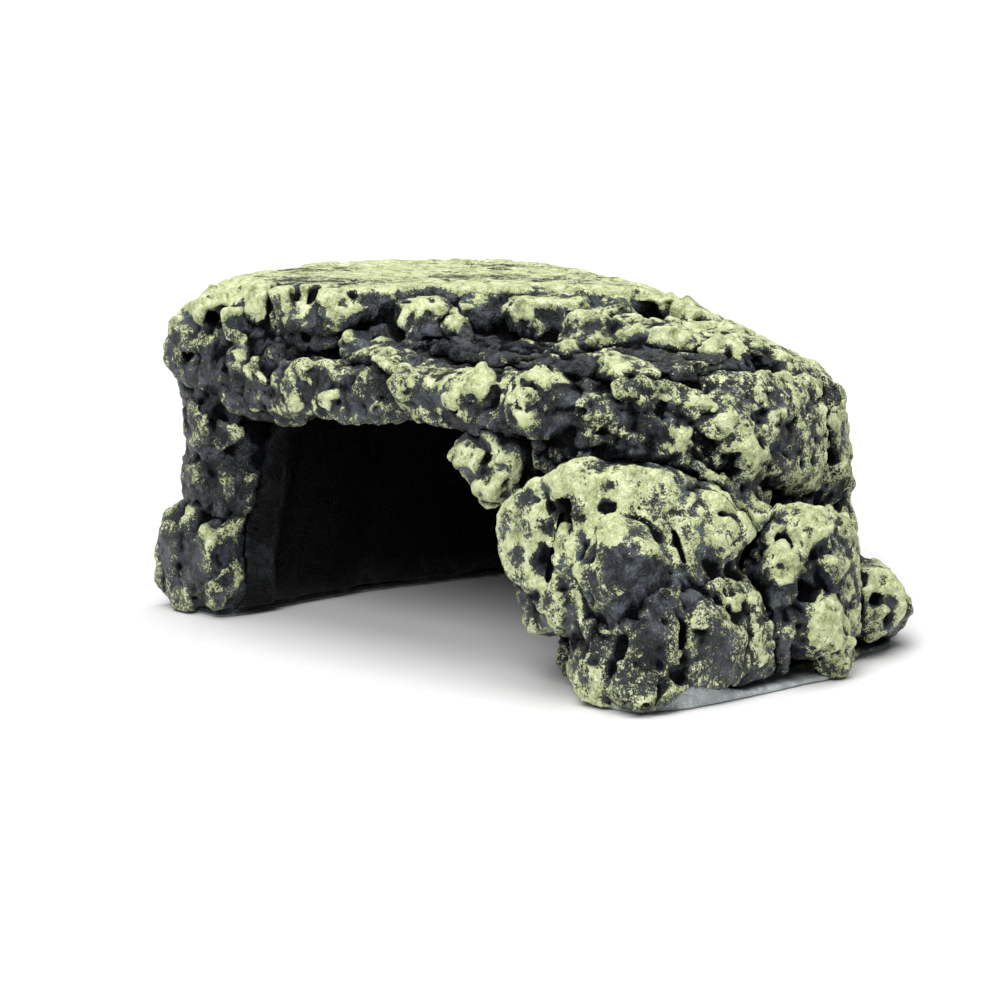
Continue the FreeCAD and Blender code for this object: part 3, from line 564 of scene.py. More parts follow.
    (-14.75, -48.81, 36.65, 0.55, 0.6),
    (-12.03, -49.76, 36.54, 0.55, 0.6),
    (-11.00, -49.65, 36.31, 0.55, 0.6),
    (-10.28, -49.30, 36.65, 0.55, 0.6),
    (-9.99, -49.08, 36.41, 0.55, 0.6),
    (-31.41, -47.73, 31.66, 0.55, 0.6),
    (-30.79, -47.37, 31.68, 0.55, 0.6),
    (-30.40, -47.18, 31.82, 0.55, 0.6),
    (-27.67, -47.79, 32.23, 0.55, 0.6),
    (-25.97, -48.07, 32.29, 0.55, 0.6),
    (-24.27, -48.53, 32.57, 0.55, 0.6),
    (-21.78, -49.39, 33.00, 0.55, 0.6),
    (-20.16, -49.74, 33.26, 0.55, 0.6),
    (-19.06, -49.64, 33.49, 0.55, 0.6),
    (-18.52, -49.17, 33.62, 0.55, 0.6),
    (-18.22, -48.85, 33.68, 0.55, 0.6),
    (-17.13, -48.41, 33.59, 0.55, 0.6),
    (-15.81, -48.40, 33.93, 0.55, 0.6),
    (-12.93, -49.72, 34.42, 0.55, 0.6),
    (-12.03, -49.55, 34.61, 0.55, 0.6),
    (-11.69, -49.42, 34.62, 0.55, 0.6),
    (-11.01, -48.37, 34.47, 0.55, 0.6),
    (-9.75, -48.38, 34.87, 0.55, 0.6),
    (-8.97, -47.88, 34.95, 0.55, 0.6),
    (-7.95, -47.78, 34.95, 0.55, 0.6),
    (-6.79, -47.62, 35.19, 0.55, 0.6),
    (-5.57, -47.69, 35.42, 0.55, 0.6),
    (-3.96, -47.97, 35.05, 0.55, 0.6),
    (-3.35, -48.01, 35.49, 0.55, 0.6),
    (-3.01, -47.01, 35.63, 0.55, 0.6),
    (-2.51, -46.47, 35.30, 0.55, 0.6),
    (-1.73, -45.88, 35.29, 0.55, 0.6),
    (0.96, -47.14, 36.33, 0.55, 0.6),
    (2.58, -47.49, 36.33, 0.55, 0.6),
    (3.27, -47.17, 35.97, 0.55, 0.6),
    (4.29, -47.00, 35.97, 0.55, 0.6),
    (5.65, -47.05, 35.97, 0.55, 0.6),
    (6.33, -46.74, 35.97, 0.55, 0.6),
    (7.35, -46.47, 35.63, 0.55, 0.6),
    (-11.67, -49.44, 34.95, 0.48, 0.7),
    (-12.38, -49.54, 34.32, 0.48, 0.7),
    (-15.11, -48.12, 33.56, 0.48, 0.7),
    (-15.81, -48.40, 33.93, 0.48, 0.7),
    (-15.76, -48.75, 34.63, 0.48, 0.7),
    (-14.98, -49.02, 35.45, 0.48, 0.7),
    (-13.05, -49.88, 35.97, 0.48, 0.7),
    (-12.03, -49.89, 35.97, 0.48, 0.7),
    (-11.37, -49.73, 35.66, 0.48, 0.7),
    (-31.41, -45.67, 48.77, 0.55, 0.8),
    (-30.88, -46.00, 48.15, 0.55, 0.8),
    (-31.04, -46.08, 47.51, 0.55, 0.8),
    (-31.23, -46.31, 46.72, 0.55, 0.8),
    (-31.25, -46.29, 46.03, 0.55, 0.8),
    (-31.44, -46.10, 45.17, 0.55, 0.8),
    (-26.99, -44.77, 49.85, 0.55, 0.8),
    (-26.40, -45.67, 49.16, 0.55, 0.8),
    (-26.13, -45.64, 48.77, 0.55, 0.8),
    (-26.10, -45.98, 47.73, 0.55, 0.8),
    (-25.73, -45.99, 47.19, 0.55, 0.8),
    (-25.68, -46.04, 46.85, 0.55, 0.8),
    (-25.63, -46.24, 45.54, 0.55, 0.8),
    (-25.63, -46.33, 45.15, 0.55, 0.8),
    (-26.99, -41.37, 49.88, 0.55, 0.7),
    (-26.07, -41.66, 49.57, 0.55, 0.7),
    (-26.43, -41.90, 48.42, 0.55, 0.7),
    (-25.75, -42.60, 47.75, 0.55, 0.7),
    (-24.27, -43.75, 47.14, 0.55, 0.7),
    (-23.61, -44.07, 46.49, 0.55, 0.7),
    (-23.58, -44.78, 45.84, 0.55, 0.7),
    (-22.57, -45.04, 45.05, 0.55, 0.7),
    (-22.59, -45.19, 44.84, 0.55, 0.7),
    (-19.83, -43.10, 48.58, 0.82, 0.9),
    (-19.00, -42.57, 47.36, 0.82, 0.9),
    (-18.94, -42.62, 46.51, 0.82, 0.9),
    (-18.65, -41.89, 45.29, 0.82, 0.9),
    (-16.79, -42.59, 43.68, 0.82, 0.9),
    (6.57, -6.94, 48.11, 0.82, 0.8),
    (6.67, -5.67, 47.53, 0.82, 0.8),
    (6.74, -4.65, 46.51, 0.82, 0.8),
    (21.97, -16.75, 47.39, 0.82, 0.8),
    (27.99, -21.31, 47.40, 0.82, 0.8),
    (28.61, -20.48, 47.07, 0.82, 0.8),
    (29.07, -19.27, 46.46, 0.82, 0.8),
    (29.99, -18.59, 46.02, 0.82, 0.8),
    (31.05, -17.47, 45.49, 0.82, 0.8),
    (32.85, -17.72, 45.31, 0.82, 0.8),
    (33.95, -17.57, 44.92, 0.82, 0.8),
    (34.04, -16.05, 44.30, 0.82, 0.8),
    (35.49, -15.01, 43.95, 0.82, 0.8),
    (36.42, -15.05, 43.62, 0.82, 0.8),
    (42.90, -11.79, 41.62, 0.68, 0.7),
    (43.25, -11.79, 40.93, 0.68, 0.7),
    (43.60, -11.45, 39.62, 0.68, 0.7),
    (44.10, -11.45, 38.69, 0.68, 0.7),
    (44.44, -11.45, 38.01, 0.68, 0.7),
    (44.41, -11.11, 37.33, 0.68, 0.7),
    (44.15, -10.77, 35.97, 0.68, 0.7),
    (44.37, -10.77, 34.61, 0.68, 0.7),
    (44.38, -10.46, 33.90, 0.68, 0.7),
    (44.36, -10.09, 32.91, 0.68, 0.7),
    (42.91, -5.74, 37.81, 0.68, 0.8),
    (43.57, -5.89, 36.49, 0.68, 0.8),
    (43.66, -5.33, 35.97, 0.68, 0.8),
    (38.17, 1.28, 33.46, 0.68, 0.8),
    (38.49, 1.27, 32.91, 0.68, 0.8),
    (37.73, 2.06, 31.79, 0.68, 0.8),
    (37.59, 1.50, 30.22, 0.68, 0.8),
    (38.05, 0.79, 29.85, 0.68, 0.8),
    (44.48, -18.59, 40.05, 0.68, 0.7),
    (44.74, -18.25, 39.03, 0.68, 0.7),
    (44.81, -17.57, 38.01, 0.68, 0.7),
    (45.32, -17.46, 36.87, 0.68, 0.7),
    (45.71, -17.60, 36.34, 0.68, 0.7),
    (45.78, -17.23, 35.63, 0.68, 0.7),
    (45.91, -17.35, 34.61, 0.68, 0.7),
    (45.73, -16.89, 33.59, 0.68, 0.7),
    (42.44, -28.45, 39.83, 0.96, 0.7),
    (43.16, -27.77, 39.15, 0.96, 0.7),
    (43.94, -27.00, 38.89, 0.96, 0.7),
    (45.01, -26.32, 37.55, 0.96, 0.7),
    (45.63, -25.98, 36.99, 0.96, 0.7),
    (45.89, -24.71, 36.25, 0.96, 0.7),
    (46.15, -23.69, 34.95, 0.96, 0.7),
    (46.79, -23.44, 33.71, 0.96, 0.7),
    (47.18, -23.01, 32.57, 0.96, 0.7),
    (47.16, -21.99, 31.21, 0.96, 0.7),
    (42.45, -30.49, 33.59, 0.55, 0.8),
    (42.24, -31.15, 32.94, 0.55, 0.8),
    (42.03, -31.24, 32.84, 0.55, 0.8),
    (41.50, -31.95, 32.81, 0.55, 0.8),
    (41.53, -32.04, 33.10, 0.55, 0.8),
    (41.14, -32.58, 33.25, 0.55, 0.8),
    (41.04, -32.19, 33.93, 0.55, 0.8),
    (41.44, -31.94, 34.95, 0.55, 0.8),
    (41.48, -31.97, 35.29, 0.55, 0.8),
    (41.84, -31.32, 35.42, 0.55, 0.8),
    (41.94, -31.09, 35.54, 0.55, 0.8),
    (42.55, -30.67, 35.47, 0.55, 0.8),
    (42.77, -30.48, 35.28, 0.55, 0.8),
    (42.82, -30.54, 34.95, 0.55, 0.8),
    (42.60, -30.49, 34.27, 0.55, 0.8),
    (32.65, -39.14, 40.20, 0.68, 0.5),
    (33.52, -39.01, 40.17, 0.68, 0.5),
    (34.66, -37.97, 40.18, 0.68, 0.5),
    (36.25, -38.29, 40.73, 0.68, 0.5),
    (37.11, -38.16, 40.58, 0.68, 0.5),
    (37.67, -37.27, 40.38, 0.68, 0.5),
    (38.37, -36.35, 40.39, 0.68, 0.5),
    (39.15, -35.77, 40.25, 0.68, 0.5),
    (39.49, -35.44, 39.89, 0.68, 0.5),
    (40.17, -34.09, 40.28, 0.68, 0.5),
    (40.24, -33.55, 40.11, 0.68, 0.5),
    (40.56, -32.81, 39.77, 0.68, 0.5),
    (40.84, -31.70, 39.88, 0.68, 0.5),
    (41.19, -30.68, 39.23, 0.68, 0.5),
    (41.88, -29.98, 39.20, 0.68, 0.5),
    (42.62, -29.39, 39.30, 0.68, 0.5),
    (35.24, -39.96, 35.96, 0.55, 0.5),
    (35.91, -38.92, 35.65, 0.55, 0.5),
    (36.61, -38.61, 35.61, 0.55, 0.5),
    (36.88, -38.32, 35.61, 0.55, 0.5),
    (37.78, -37.80, 35.12, 0.55, 0.5),
    (37.85, -37.32, 35.29, 0.55, 0.5),
    (38.31, -36.61, 34.95, 0.55, 0.5),
    (38.80, -35.76, 34.78, 0.55, 0.5),
    (39.03, -35.22, 34.58, 0.55, 0.5),
    (44.42, -28.18, 29.17, 0.55, 0.6),
    (44.65, -28.01, 28.83, 0.55, 0.6),
    (46.45, -29.13, 28.08, 0.55, 0.6),
    (48.04, -30.15, 27.67, 0.55, 0.6),
    (48.90, -30.83, 27.23, 0.55, 0.6),
    (45.77, -27.81, 28.06, 0.55, 0.6),
    (47.35, -28.79, 27.66, 0.55, 0.6),
    (48.17, -29.12, 27.15, 0.55, 0.6),
    (49.41, -29.47, 26.68, 0.55, 0.6),
    (50.09, -29.47, 26.03, 0.55, 0.6),
    (47.89, -27.77, 27.22, 0.55, 0.6),
    (48.19, -27.44, 26.43, 0.55, 0.6),
    (47.61, -26.27, 25.57, 0.55, 0.6),
    (48.85, -26.73, 25.04, 0.55, 0.6),
    (50.75, -28.11, 24.63, 0.55, 0.6),
    (45.94, -23.53, 25.26, 0.55, 0.6),
    (45.96, -23.07, 24.97, 0.55, 0.6),
    (46.43, -22.21, 24.07, 0.55, 0.6),
    (47.15, -22.23, 23.38, 0.55, 0.6),
    (47.45, -22.08, 22.73, 0.55, 0.6),
    (33.39, -48.74, 26.31, 0.68, 0.7),
    (33.71, -49.04, 25.62, 0.68, 0.7),
    (33.58, -49.51, 25.09, 0.68, 0.7),
    (32.85, -49.89, 24.75, 0.68, 0.7),
    (31.49, -49.90, 24.75, 0.68, 0.7),
    (30.13, -49.90, 24.75, 0.68, 0.7),
    (29.11, -49.90, 25.09, 0.68, 0.7),
    (28.09, -49.86, 25.77, 0.68, 0.7),
    (27.75, -49.65, 26.21, 0.68, 0.7),
    (21.83, -45.05, 26.36, 0.68, 0.7),
    (22.32, -44.67, 27.13, 0.68, 0.7),
    (23.17, -43.94, 27.66, 0.68, 0.7),
    (23.16, -43.57, 27.66, 0.68, 0.7),
    (30.70, -48.03, 28.72, 0.68, 0.7),
    (31.49, -47.92, 28.23, 0.68, 0.7),
    (32.51, -47.74, 27.73, 0.68, 0.7),
    (33.08, -48.10, 27.02, 0.68, 0.7),
    (40.61, -45.45, 26.45, 0.68, 0.7),
    (40.88, -45.79, 25.70, 0.68, 0.7),
    (40.85, -46.31, 24.96, 0.68, 0.7),
    (40.85, -46.31, 24.96, 0.68, 0.7),
    (40.33, -46.82, 24.07, 0.68, 0.7),
    (39.65, -47.19, 23.73, 0.68, 0.7),
    (38.63, -47.43, 23.73, 0.68, 0.7),
    (37.74, -47.92, 23.19, 0.68, 0.7),
    (36.93, -48.18, 23.39, 0.68, 0.7),
    (35.23, -47.66, 23.59, 0.68, 0.7),
    (34.32, -48.15, 24.40, 0.68, 0.7),
    (34.13, -48.51, 24.75, 0.68, 0.7),
    (33.99, -48.51, 25.14, 0.68, 0.7),
    (33.67, -48.17, 25.87, 0.68, 0.7),
    (34.55, -47.72, 26.86, 0.68, 0.7),
    (36.25, -48.48, 27.81, 0.68, 0.7),
    (36.63, -48.14, 28.16, 0.68, 0.7),
    (37.58, -47.94, 28.85, 0.68, 0.7),
    (38.56, -47.38, 28.83, 0.68, 0.7),
    (39.14, -46.98, 28.65, 0.68, 0.7),
    (39.47, -46.63, 28.29, 0.68, 0.7),
    (39.73, -46.13, 28.15, 0.68, 0.7),
    (40.13, -45.57, 27.57, 0.68, 0.7),
    (40.45, -45.45, 26.85, 0.68, 0.7),
    (44.07, -43.75, 26.11, 0.68, 0.7),
    (46.15, -46.47, 25.82, 0.68, 0.7),
    (46.12, -47.17, 25.44, 0.68, 0.7),
    (45.40, -47.54, 25.40, 0.68, 0.7),
    (41.67, -45.34, 25.07, 0.68, 0.7),
    (40.73, -46.12, 25.76, 0.68, 0.7),
    (40.56, -46.16, 26.47, 0.68, 0.7),
    (40.34, -45.45, 27.13, 0.68, 0.7),
    (40.48, -44.92, 27.81, 0.68, 0.7),
    (41.23, -43.94, 28.04, 0.68, 0.7),
    (42.17, -43.56, 27.81, 0.68, 0.7),
    (43.06, -43.33, 27.47, 0.68, 0.7),
    (43.72, -43.47, 26.77, 0.68, 0.7),
    (36.93, -49.07, 18.36, 0.68, 0.7),
    (36.59, -49.13, 17.27, 0.68, 0.7),
    (36.25, -49.28, 16.33, 0.68, 0.7),
    (35.23, -49.55, 15.67, 0.68, 0.7),
    (35.23, -49.75, 15.52, 0.68, 0.7),
    (34.55, -49.82, 15.23, 0.68, 0.7),
    (33.53, -49.82, 15.57, 0.68, 0.7),
    (32.85, -49.89, 15.91, 0.68, 0.7),
    (32.51, -49.90, 16.25, 0.68, 0.7),
    (32.17, -49.90, 16.93, 0.68, 0.7),
    (31.83, -49.90, 17.61, 0.68, 0.7),
    (31.83, -49.89, 18.63, 0.68, 0.7),
    (32.17, -49.87, 19.31, 0.68, 0.7),
    (32.51, -49.88, 20.33, 0.68, 0.7),
    (33.08, -49.74, 20.67, 0.68, 0.7),
    (33.87, -49.81, 21.69, 0.68, 0.7),
    (34.06, -49.73, 22.03, 0.68, 0.7),
    (34.41, -49.10, 21.92, 0.68, 0.7),
    (34.52, -48.85, 21.69, 0.68, 0.7),
    (34.97, -48.29, 21.46, 0.68, 0.7),
    (36.25, -48.74, 21.36, 0.68, 0.7),
    (36.56, -48.74, 21.02, 0.68, 0.7),
    (36.96, -48.74, 19.96, 0.68, 0.7),
    (37.12, -49.03, 19.16, 0.68, 0.7),
    (32.17, -49.86, 18.97, 0.55, 0.6),
    (31.83, -49.90, 17.95, 0.55, 0.6),
    (31.49, -49.90, 17.61, 0.55, 0.6),
    (30.81, -49.90, 16.93, 0.55, 0.6),
    (30.13, -49.90, 16.59, 0.55, 0.6),
    (29.11, -49.90, 16.59, 0.55, 0.6),
    (28.43, -49.89, 16.59, 0.55, 0.6),
    (27.75, -49.85, 16.93, 0.55, 0.6),
    (27.41, -49.87, 17.61, 0.55, 0.6),
    (27.07, -49.87, 18.29, 0.55, 0.6),
    (27.07, -49.86, 18.97, 0.55, 0.6),
    (27.41, -49.86, 19.65, 0.55, 0.6),
    (27.75, -49.90, 20.33, 0.55, 0.6),
    (28.43, -49.90, 20.67, 0.55, 0.6),
    (29.11, -49.90, 21.01, 0.55, 0.6),
    (30.13, -49.90, 21.35, 0.55, 0.6),
    (30.81, -49.90, 21.01, 0.55, 0.6),
    (31.49, -49.90, 20.67, 0.55, 0.6),
    (31.83, -49.90, 20.33, 0.55, 0.6),
    (32.17, -49.89, 19.65, 0.55, 0.6),
    (47.66, -47.35, 23.63, 0.68, 0.9),
    (47.55, -47.58, 23.39, 0.68, 0.9),
    (47.34, -48.03, 22.94, 0.68, 0.9),
    (46.45, -48.40, 22.71, 0.68, 0.9),
    (45.09, -48.49, 23.05, 0.68, 0.9),
    (43.39, -48.03, 22.61, 0.68, 0.9),
    (41.33, -46.87, 22.68, 0.68, 0.9),
    (41.01, -46.81, 23.05, 0.68, 0.9),
    (41.13, -46.60, 23.46, 0.68, 0.9),
    (41.35, -46.22, 24.10, 0.68, 0.9),
    (44.25, -47.67, 24.93, 0.68, 0.9),
    (45.68, -47.68, 24.95, 0.68, 0.9),
    (46.45, -47.37, 24.99, 0.68, 0.9),
    (47.16, -47.18, 24.51, 0.68, 0.9),
    (47.65, -47.00, 24.26, 0.68, 0.9),
    (37.52, -47.72, 23.73, 0.55, 0.8),
    (37.85, -48.04, 22.96, 0.55, 0.8),
    (38.41, -47.94, 22.15, 0.55, 0.8),
    (38.87, -48.02, 21.57, 0.55, 0.8),
    (38.97, -48.12, 21.01, 0.55, 0.8),
    (39.31, -48.25, 20.06, 0.55, 0.8),
    (39.99, -48.54, 19.31, 0.55, 0.8),
    (41.68, -49.76, 18.99, 0.55, 0.8),
    (42.03, -49.87, 18.63, 0.55, 0.8),
    (42.03, -49.89, 17.95, 0.55, 0.8),
    (42.13, -49.75, 16.93, 0.55, 0.8),
    (39.98, -47.93, 15.90, 0.55, 0.8),
    (40.33, -48.22, 14.89, 0.55, 0.8),
    (40.33, -48.20, 14.55, 0.55, 0.8),
    (40.58, -48.03, 13.87, 0.55, 0.8),
    (40.67, -48.12, 13.19, 0.55, 0.8),
    (41.02, -48.29, 12.17, 0.55, 0.8),
    (41.07, -48.31, 11.83, 0.55, 0.8),
    (41.35, -48.38, 11.17, 0.55, 0.8),
    (43.05, -48.08, 22.03, 0.68, 0.5),
    (44.07, -48.55, 20.67, 0.68, 0.5),
    (45.40, -49.60, 19.96, 0.68, 0.5),
    (46.11, -49.82, 19.31, 0.68, 0.5),
    (46.45, -49.87, 18.63, 0.68, 0.5),
    (46.45, -49.90, 17.61, 0.68, 0.5),
    (46.79, -49.90, 16.59, 0.68, 0.5),
    (46.13, -48.27, 9.11, 0.48, 0.7),
    (46.45, -48.29, 10.37, 0.48, 0.7),
    (46.79, -48.39, 10.73, 0.48, 0.7),
    (46.47, -48.03, 11.49, 0.48, 0.7),
    (46.79, -48.15, 12.17, 0.48, 0.7),
    (47.13, -48.30, 13.10, 0.48, 0.7),
    (47.79, -48.59, 13.89, 0.48, 0.7),
    (47.71, -49.13, 14.63, 0.48, 0.7),
    (48.23, -49.19, 15.52, 0.48, 0.7),
    (48.91, -48.61, 15.83, 0.48, 0.7),
    (49.27, -48.51, 16.18, 0.48, 0.7),
    (49.46, -48.19, 16.23, 0.48, 0.7),
    (49.70, -47.51, 16.61, 0.48, 0.7),
    (44.20, -49.33, 6.66, 0.82, 0.6),
    (45.09, -49.87, 5.37, 0.82, 0.6),
    (45.09, -49.90, 4.69, 0.82, 0.6),
    (45.43, -49.90, 3.67, 0.82, 0.6),
    (45.43, -49.90, 2.65, 0.82, 0.6),
    (45.43, -49.75, 1.29, 0.82, 0.6),
    (46.68, -49.07, 0.47, 0.82, 0.6),
    (53.80, -48.71, 1.97, 0.55, 0.5),
    (54.35, -48.27, 2.31, 0.55, 0.5),
    (54.52, -48.10, 2.31, 0.55, 0.5),
    (54.57, -47.51, 3.01, 0.55, 0.5),
    (54.49, -46.58, 2.99, 0.55, 0.5),
    (54.33, -45.00, 2.88, 0.55, 0.5),
    (54.76, -44.43, 3.13, 0.55, 0.5),
    (54.65, -44.09, 3.33, 0.55, 0.5),
    (54.71, -43.07, 3.35, 0.55, 0.5),
    (54.58, -42.05, 3.33, 0.55, 0.5),
    (51.15, -18.26, 18.99, 0.68, 0.7),
    (52.49, -20.22, 18.57, 0.68, 0.7),
    (52.21, -20.61, 18.63, 0.68, 0.7),
    (51.79, -21.66, 17.95, 0.68, 0.7),
    (51.70, -21.78, 18.06, 0.68, 0.7),
    (51.06, -22.18, 19.19, 0.68, 0.7),
    (50.73, -22.17, 19.49, 0.68, 0.7),
    (49.17, -20.88, 19.94, 0.68, 0.7),
    (48.86, -20.65, 20.72, 0.68, 0.7),
    (48.76, -19.61, 21.25, 0.68, 0.7),
    (48.74, -18.59, 21.35, 0.68, 0.7),
    (49.76, -18.11, 21.20, 0.68, 0.7),
    (50.44, -17.80, 20.60, 0.68, 0.7),
    (50.80, -17.84, 19.99, 0.68, 0.7),
    (52.93, -19.95, 15.91, 0.55, 0.7),
    (52.95, -20.63, 15.23, 0.55, 0.7),
    (52.76, -21.18, 15.17, 0.55, 0.7),
    (52.56, -21.65, 15.23, 0.55, 0.7),
    (52.36, -22.08, 15.33, 0.55, 0.7),
    (51.82, -22.34, 16.27, 0.55, 0.7),
    (51.65, -21.99, 16.69, 0.55, 0.7),
    (51.74, -21.86, 17.83, 0.55, 0.7),
    (51.96, -21.30, 17.94, 0.55, 0.7),
    (52.18, -20.63, 17.95, 0.55, 0.7),
    (52.49, -20.20, 17.61, 0.55, 0.7),
    (52.78, -19.93, 16.57, 0.55, 0.7),
    (54.82, -13.49, 9.70, 0.55, 0.7),
    (54.89, -13.83, 9.45, 0.55, 0.7),
    (54.90, -14.51, 9.11, 0.55, 0.7),
    (54.84, -15.09, 9.11, 0.55, 0.7),
    (54.82, -15.89, 9.11, 0.55, 0.7),
    (54.81, -16.24, 10.12, 0.55, 0.7),
    (54.78, -16.49, 10.30, 0.55, 0.7),
    (54.39, -15.87, 10.93, 0.55, 0.7),
    (54.45, -15.03, 11.33, 0.55, 0.7),
    (54.34, -14.51, 11.51, 0.55, 0.7),
    (54.47, -13.83, 11.38, 0.55, 0.7),
    (54.46, -13.50, 11.12, 0.55, 0.7),
    (54.33, -12.81, 10.81, 0.55, 0.7),
    (54.90, -14.51, 7.07, 0.55, 0.6),
    (54.86, -14.85, 6.39, 0.55, 0.6),
    (54.68, -15.19, 5.98, 0.55, 0.6),
    (54.26, -15.55, 5.64, 0.55, 0.6),
    (54.52, -16.55, 5.43, 0.55, 0.6),
    (54.51, -17.20, 5.70, 0.55, 0.6),
    (54.51, -17.53, 6.05, 0.55, 0.6),
    (54.29, -17.57, 6.73, 0.55, 0.6),
    (54.16, -17.81, 7.41, 0.55, 0.6),
    (54.15, -17.78, 7.66, 0.55, 0.6),
    (54.25, -17.61, 8.78, 0.55, 0.6),
    (54.49, -17.43, 9.45, 0.55, 0.6),
    (54.68, -17.20, 9.81, 0.55, 0.6),
    (54.81, -16.91, 9.81, 0.55, 0.6),
    (54.86, -16.21, 9.45, 0.55, 0.6),
    (54.84, -15.09, 9.11, 0.55, 0.6),
    (54.90, -14.85, 8.43, 0.55, 0.6),
    (54.90, -14.51, 7.75, 0.55, 0.6),
    (52.70, -28.12, 13.54, 0.68, 0.7),
    (52.78, -27.77, 12.51, 0.68, 0.7),
    (53.04, -27.84, 11.15, 0.68, 0.7),
    (53.13, -27.78, 10.82, 0.68, 0.7),
    (53.45, -28.00, 9.79, 0.68, 0.7),
    (53.38, -27.56, 9.01, 0.68, 0.7),
    (53.47, -27.43, 8.09, 0.68, 0.7),
    (53.83, -27.45, 6.76, 0.68, 0.7),
    (53.92, -27.43, 6.39, 0.68, 0.7),
    (54.08, -27.07, 5.36, 0.68, 0.7),
    (53.90, -26.75, 4.35, 0.68, 0.7),
    (52.88, -25.39, 3.33, 0.68, 0.7),
    (52.16, -24.37, 2.29, 0.68, 0.7),
    (49.29, -6.35, 15.61, 0.82, 0.7),
    (49.42, -6.35, 14.89, 0.82, 0.7),
    (48.89, -5.67, 13.19, 0.82, 0.7),
    (48.57, -5.43, 12.40, 0.82, 0.7),
    (50.05, -6.79, 11.05, 0.82, 0.7),
    (49.67, -6.19, 10.32, 0.82, 0.7),
    (50.12, -6.35, 8.71, 0.82, 0.7),
    (50.49, -6.69, 7.75, 0.82, 0.7),
    (53.43, -9.57, 7.41, 0.82, 0.7),
    (54.53, -10.57, 6.05, 0.82, 0.7),
    (54.29, -10.09, 5.03, 0.82, 0.7),
    (44.38, 2.86, 10.47, 0.82, 0.7),
    (44.22, 3.35, 11.30, 0.82, 0.7),
    (44.65, 3.98, 12.08, 0.82, 0.7),
    (44.04, 4.87, 12.40, 0.82, 0.7),
    (43.05, 6.91, 12.23, 0.82, 0.7),
    (42.03, 8.95, 11.83, 0.82, 0.7),
    (43.14, 9.38, 11.86, 0.82, 0.7),
    (43.00, 10.47, 11.08, 0.82, 0.7),
    (43.09, 11.17, 10.14, 0.82, 0.7),
    (46.01, 8.26, 9.76, 0.82, 0.7),
    (44.27, 10.31, 8.33, 0.82, 0.7),
    (46.66, 7.93, 7.67, 0.82, 0.7),
    (46.47, 7.93, 6.73, 0.82, 0.7),
    (46.02, 7.93, 5.76, 0.82, 0.7),
    (45.38, 7.59, 4.69, 0.82, 0.7),
    (-14.00, -37.00, 44.50, 5.00, -1),
    (-9.00, -30.00, 45.00, 5.00, -1),
    (-4.00, -24.00, 45.00, 5.00, -1),
    (1.00, -18.00, 45.00, 5.00, -1),
    (6.00, -14.00, 45.00, 4.00, -0.9),
    (-1.00, -36.00, 44.00, 4.00, -1),
    (5.00, -33.00, 44.00, 4.00, -0.9),
]
# --- listed features: end


# ----------------------------------------------------------------- lattice
class Win:
    """A box of the shared lattice."""

    def __init__(self, lo, hi):
        self.a = [max(0, int((lo[i] - ORG[i]) / H)) for i in range(3)]
        self.b = [min(DIM[i], int((hi[i] - ORG[i]) / H) + 2) for i in range(3)]
        self.b = [max(self.b[i], self.a[i] + 1) for i in range(3)]
        self.x = AX[0][self.a[0]:self.b[0]][:, None, None]
        self.y = AX[1][self.a[1]:self.b[1]][None, :, None]
        self.z = AX[2][self.a[2]:self.b[2]][None, None, :]
        self.shape = tuple(self.b[i] - self.a[i] for i in range(3))

    def inside(self, other):
        """Slices of the overlap, in this window and in the other; or None."""
        lo = [max(self.a[i], other.a[i]) for i in range(3)]
        hi = [min(self.b[i], other.b[i]) for i in range(3)]
        if any(hi[i] <= lo[i] for i in range(3)):
            return None
        mine = tuple(slice(lo[i] - self.a[i], hi[i] - self.a[i]) for i in range(3))
        theirs = tuple(slice(lo[i] - other.a[i], hi[i] - other.a[i]) for i in range(3))
        return mine, theirs


def smax(a, b, k):
    d = np.abs(a - b)
    np.subtract(np.float32(k), d, out=d)
    np.maximum(d, 0, out=d)
    np.multiply(d, d, out=d)
    d *= np.float32(0.25 / k)
    d += np.maximum(a, b)
    return d


def smin(a, b, k):
    return -smax(-a, -b, k)


def bspline(axis, length, start):
    """Cubic B-spline weights of each lattice line on a coarse grid."""
    t = (axis - start) / length + 2.0
    i = np.floor(t).astype(int)
    u = (t - i).astype(np.float32)
    w = np.zeros((len(axis), int(i.max()) + 4), np.float32)
    rows = np.arange(len(axis))
    w[rows, i - 1] = (1 - u) ** 3 / 6
    w[rows, i] = (3 * u ** 3 - 6 * u ** 2 + 4) / 6
    w[rows, i + 1] = (-3 * u ** 3 + 3 * u ** 2 + 3 * u + 1) / 6
    w[rows, i + 2] = u ** 3 / 6
    return w


def noise(win, lx, ly, lz, seed):
    """Smooth noise, about -1..1, the same in every window."""
    lens = (lx, ly, lz)
    full = [int((DIM[i] * H) / lens[i]) + 8 for i in range(3)]
    c = np.random.RandomState(seed).uniform(-1, 1, full).astype(np.float32) * 1.9
    w = []
    for i in range(3):
        m = bspline(AX[i][win.a[i]:win.b[i]], lens[i], ORG[i])
        k = np.flatnonzero(m.any(0))
        w.append((m[:, k[0]:k[-1] + 1], slice(k[0], k[-1] + 1)))
    c = c[w[0][1], w[1][1], w[2][1]]
    c = np.tensordot(w[0][0], c, (1, 0))
    c = np.einsum("jb,abc->ajc", w[1][0], c, optimize=True)
    return np.ascontiguousarray(c @ w[2][0].T)


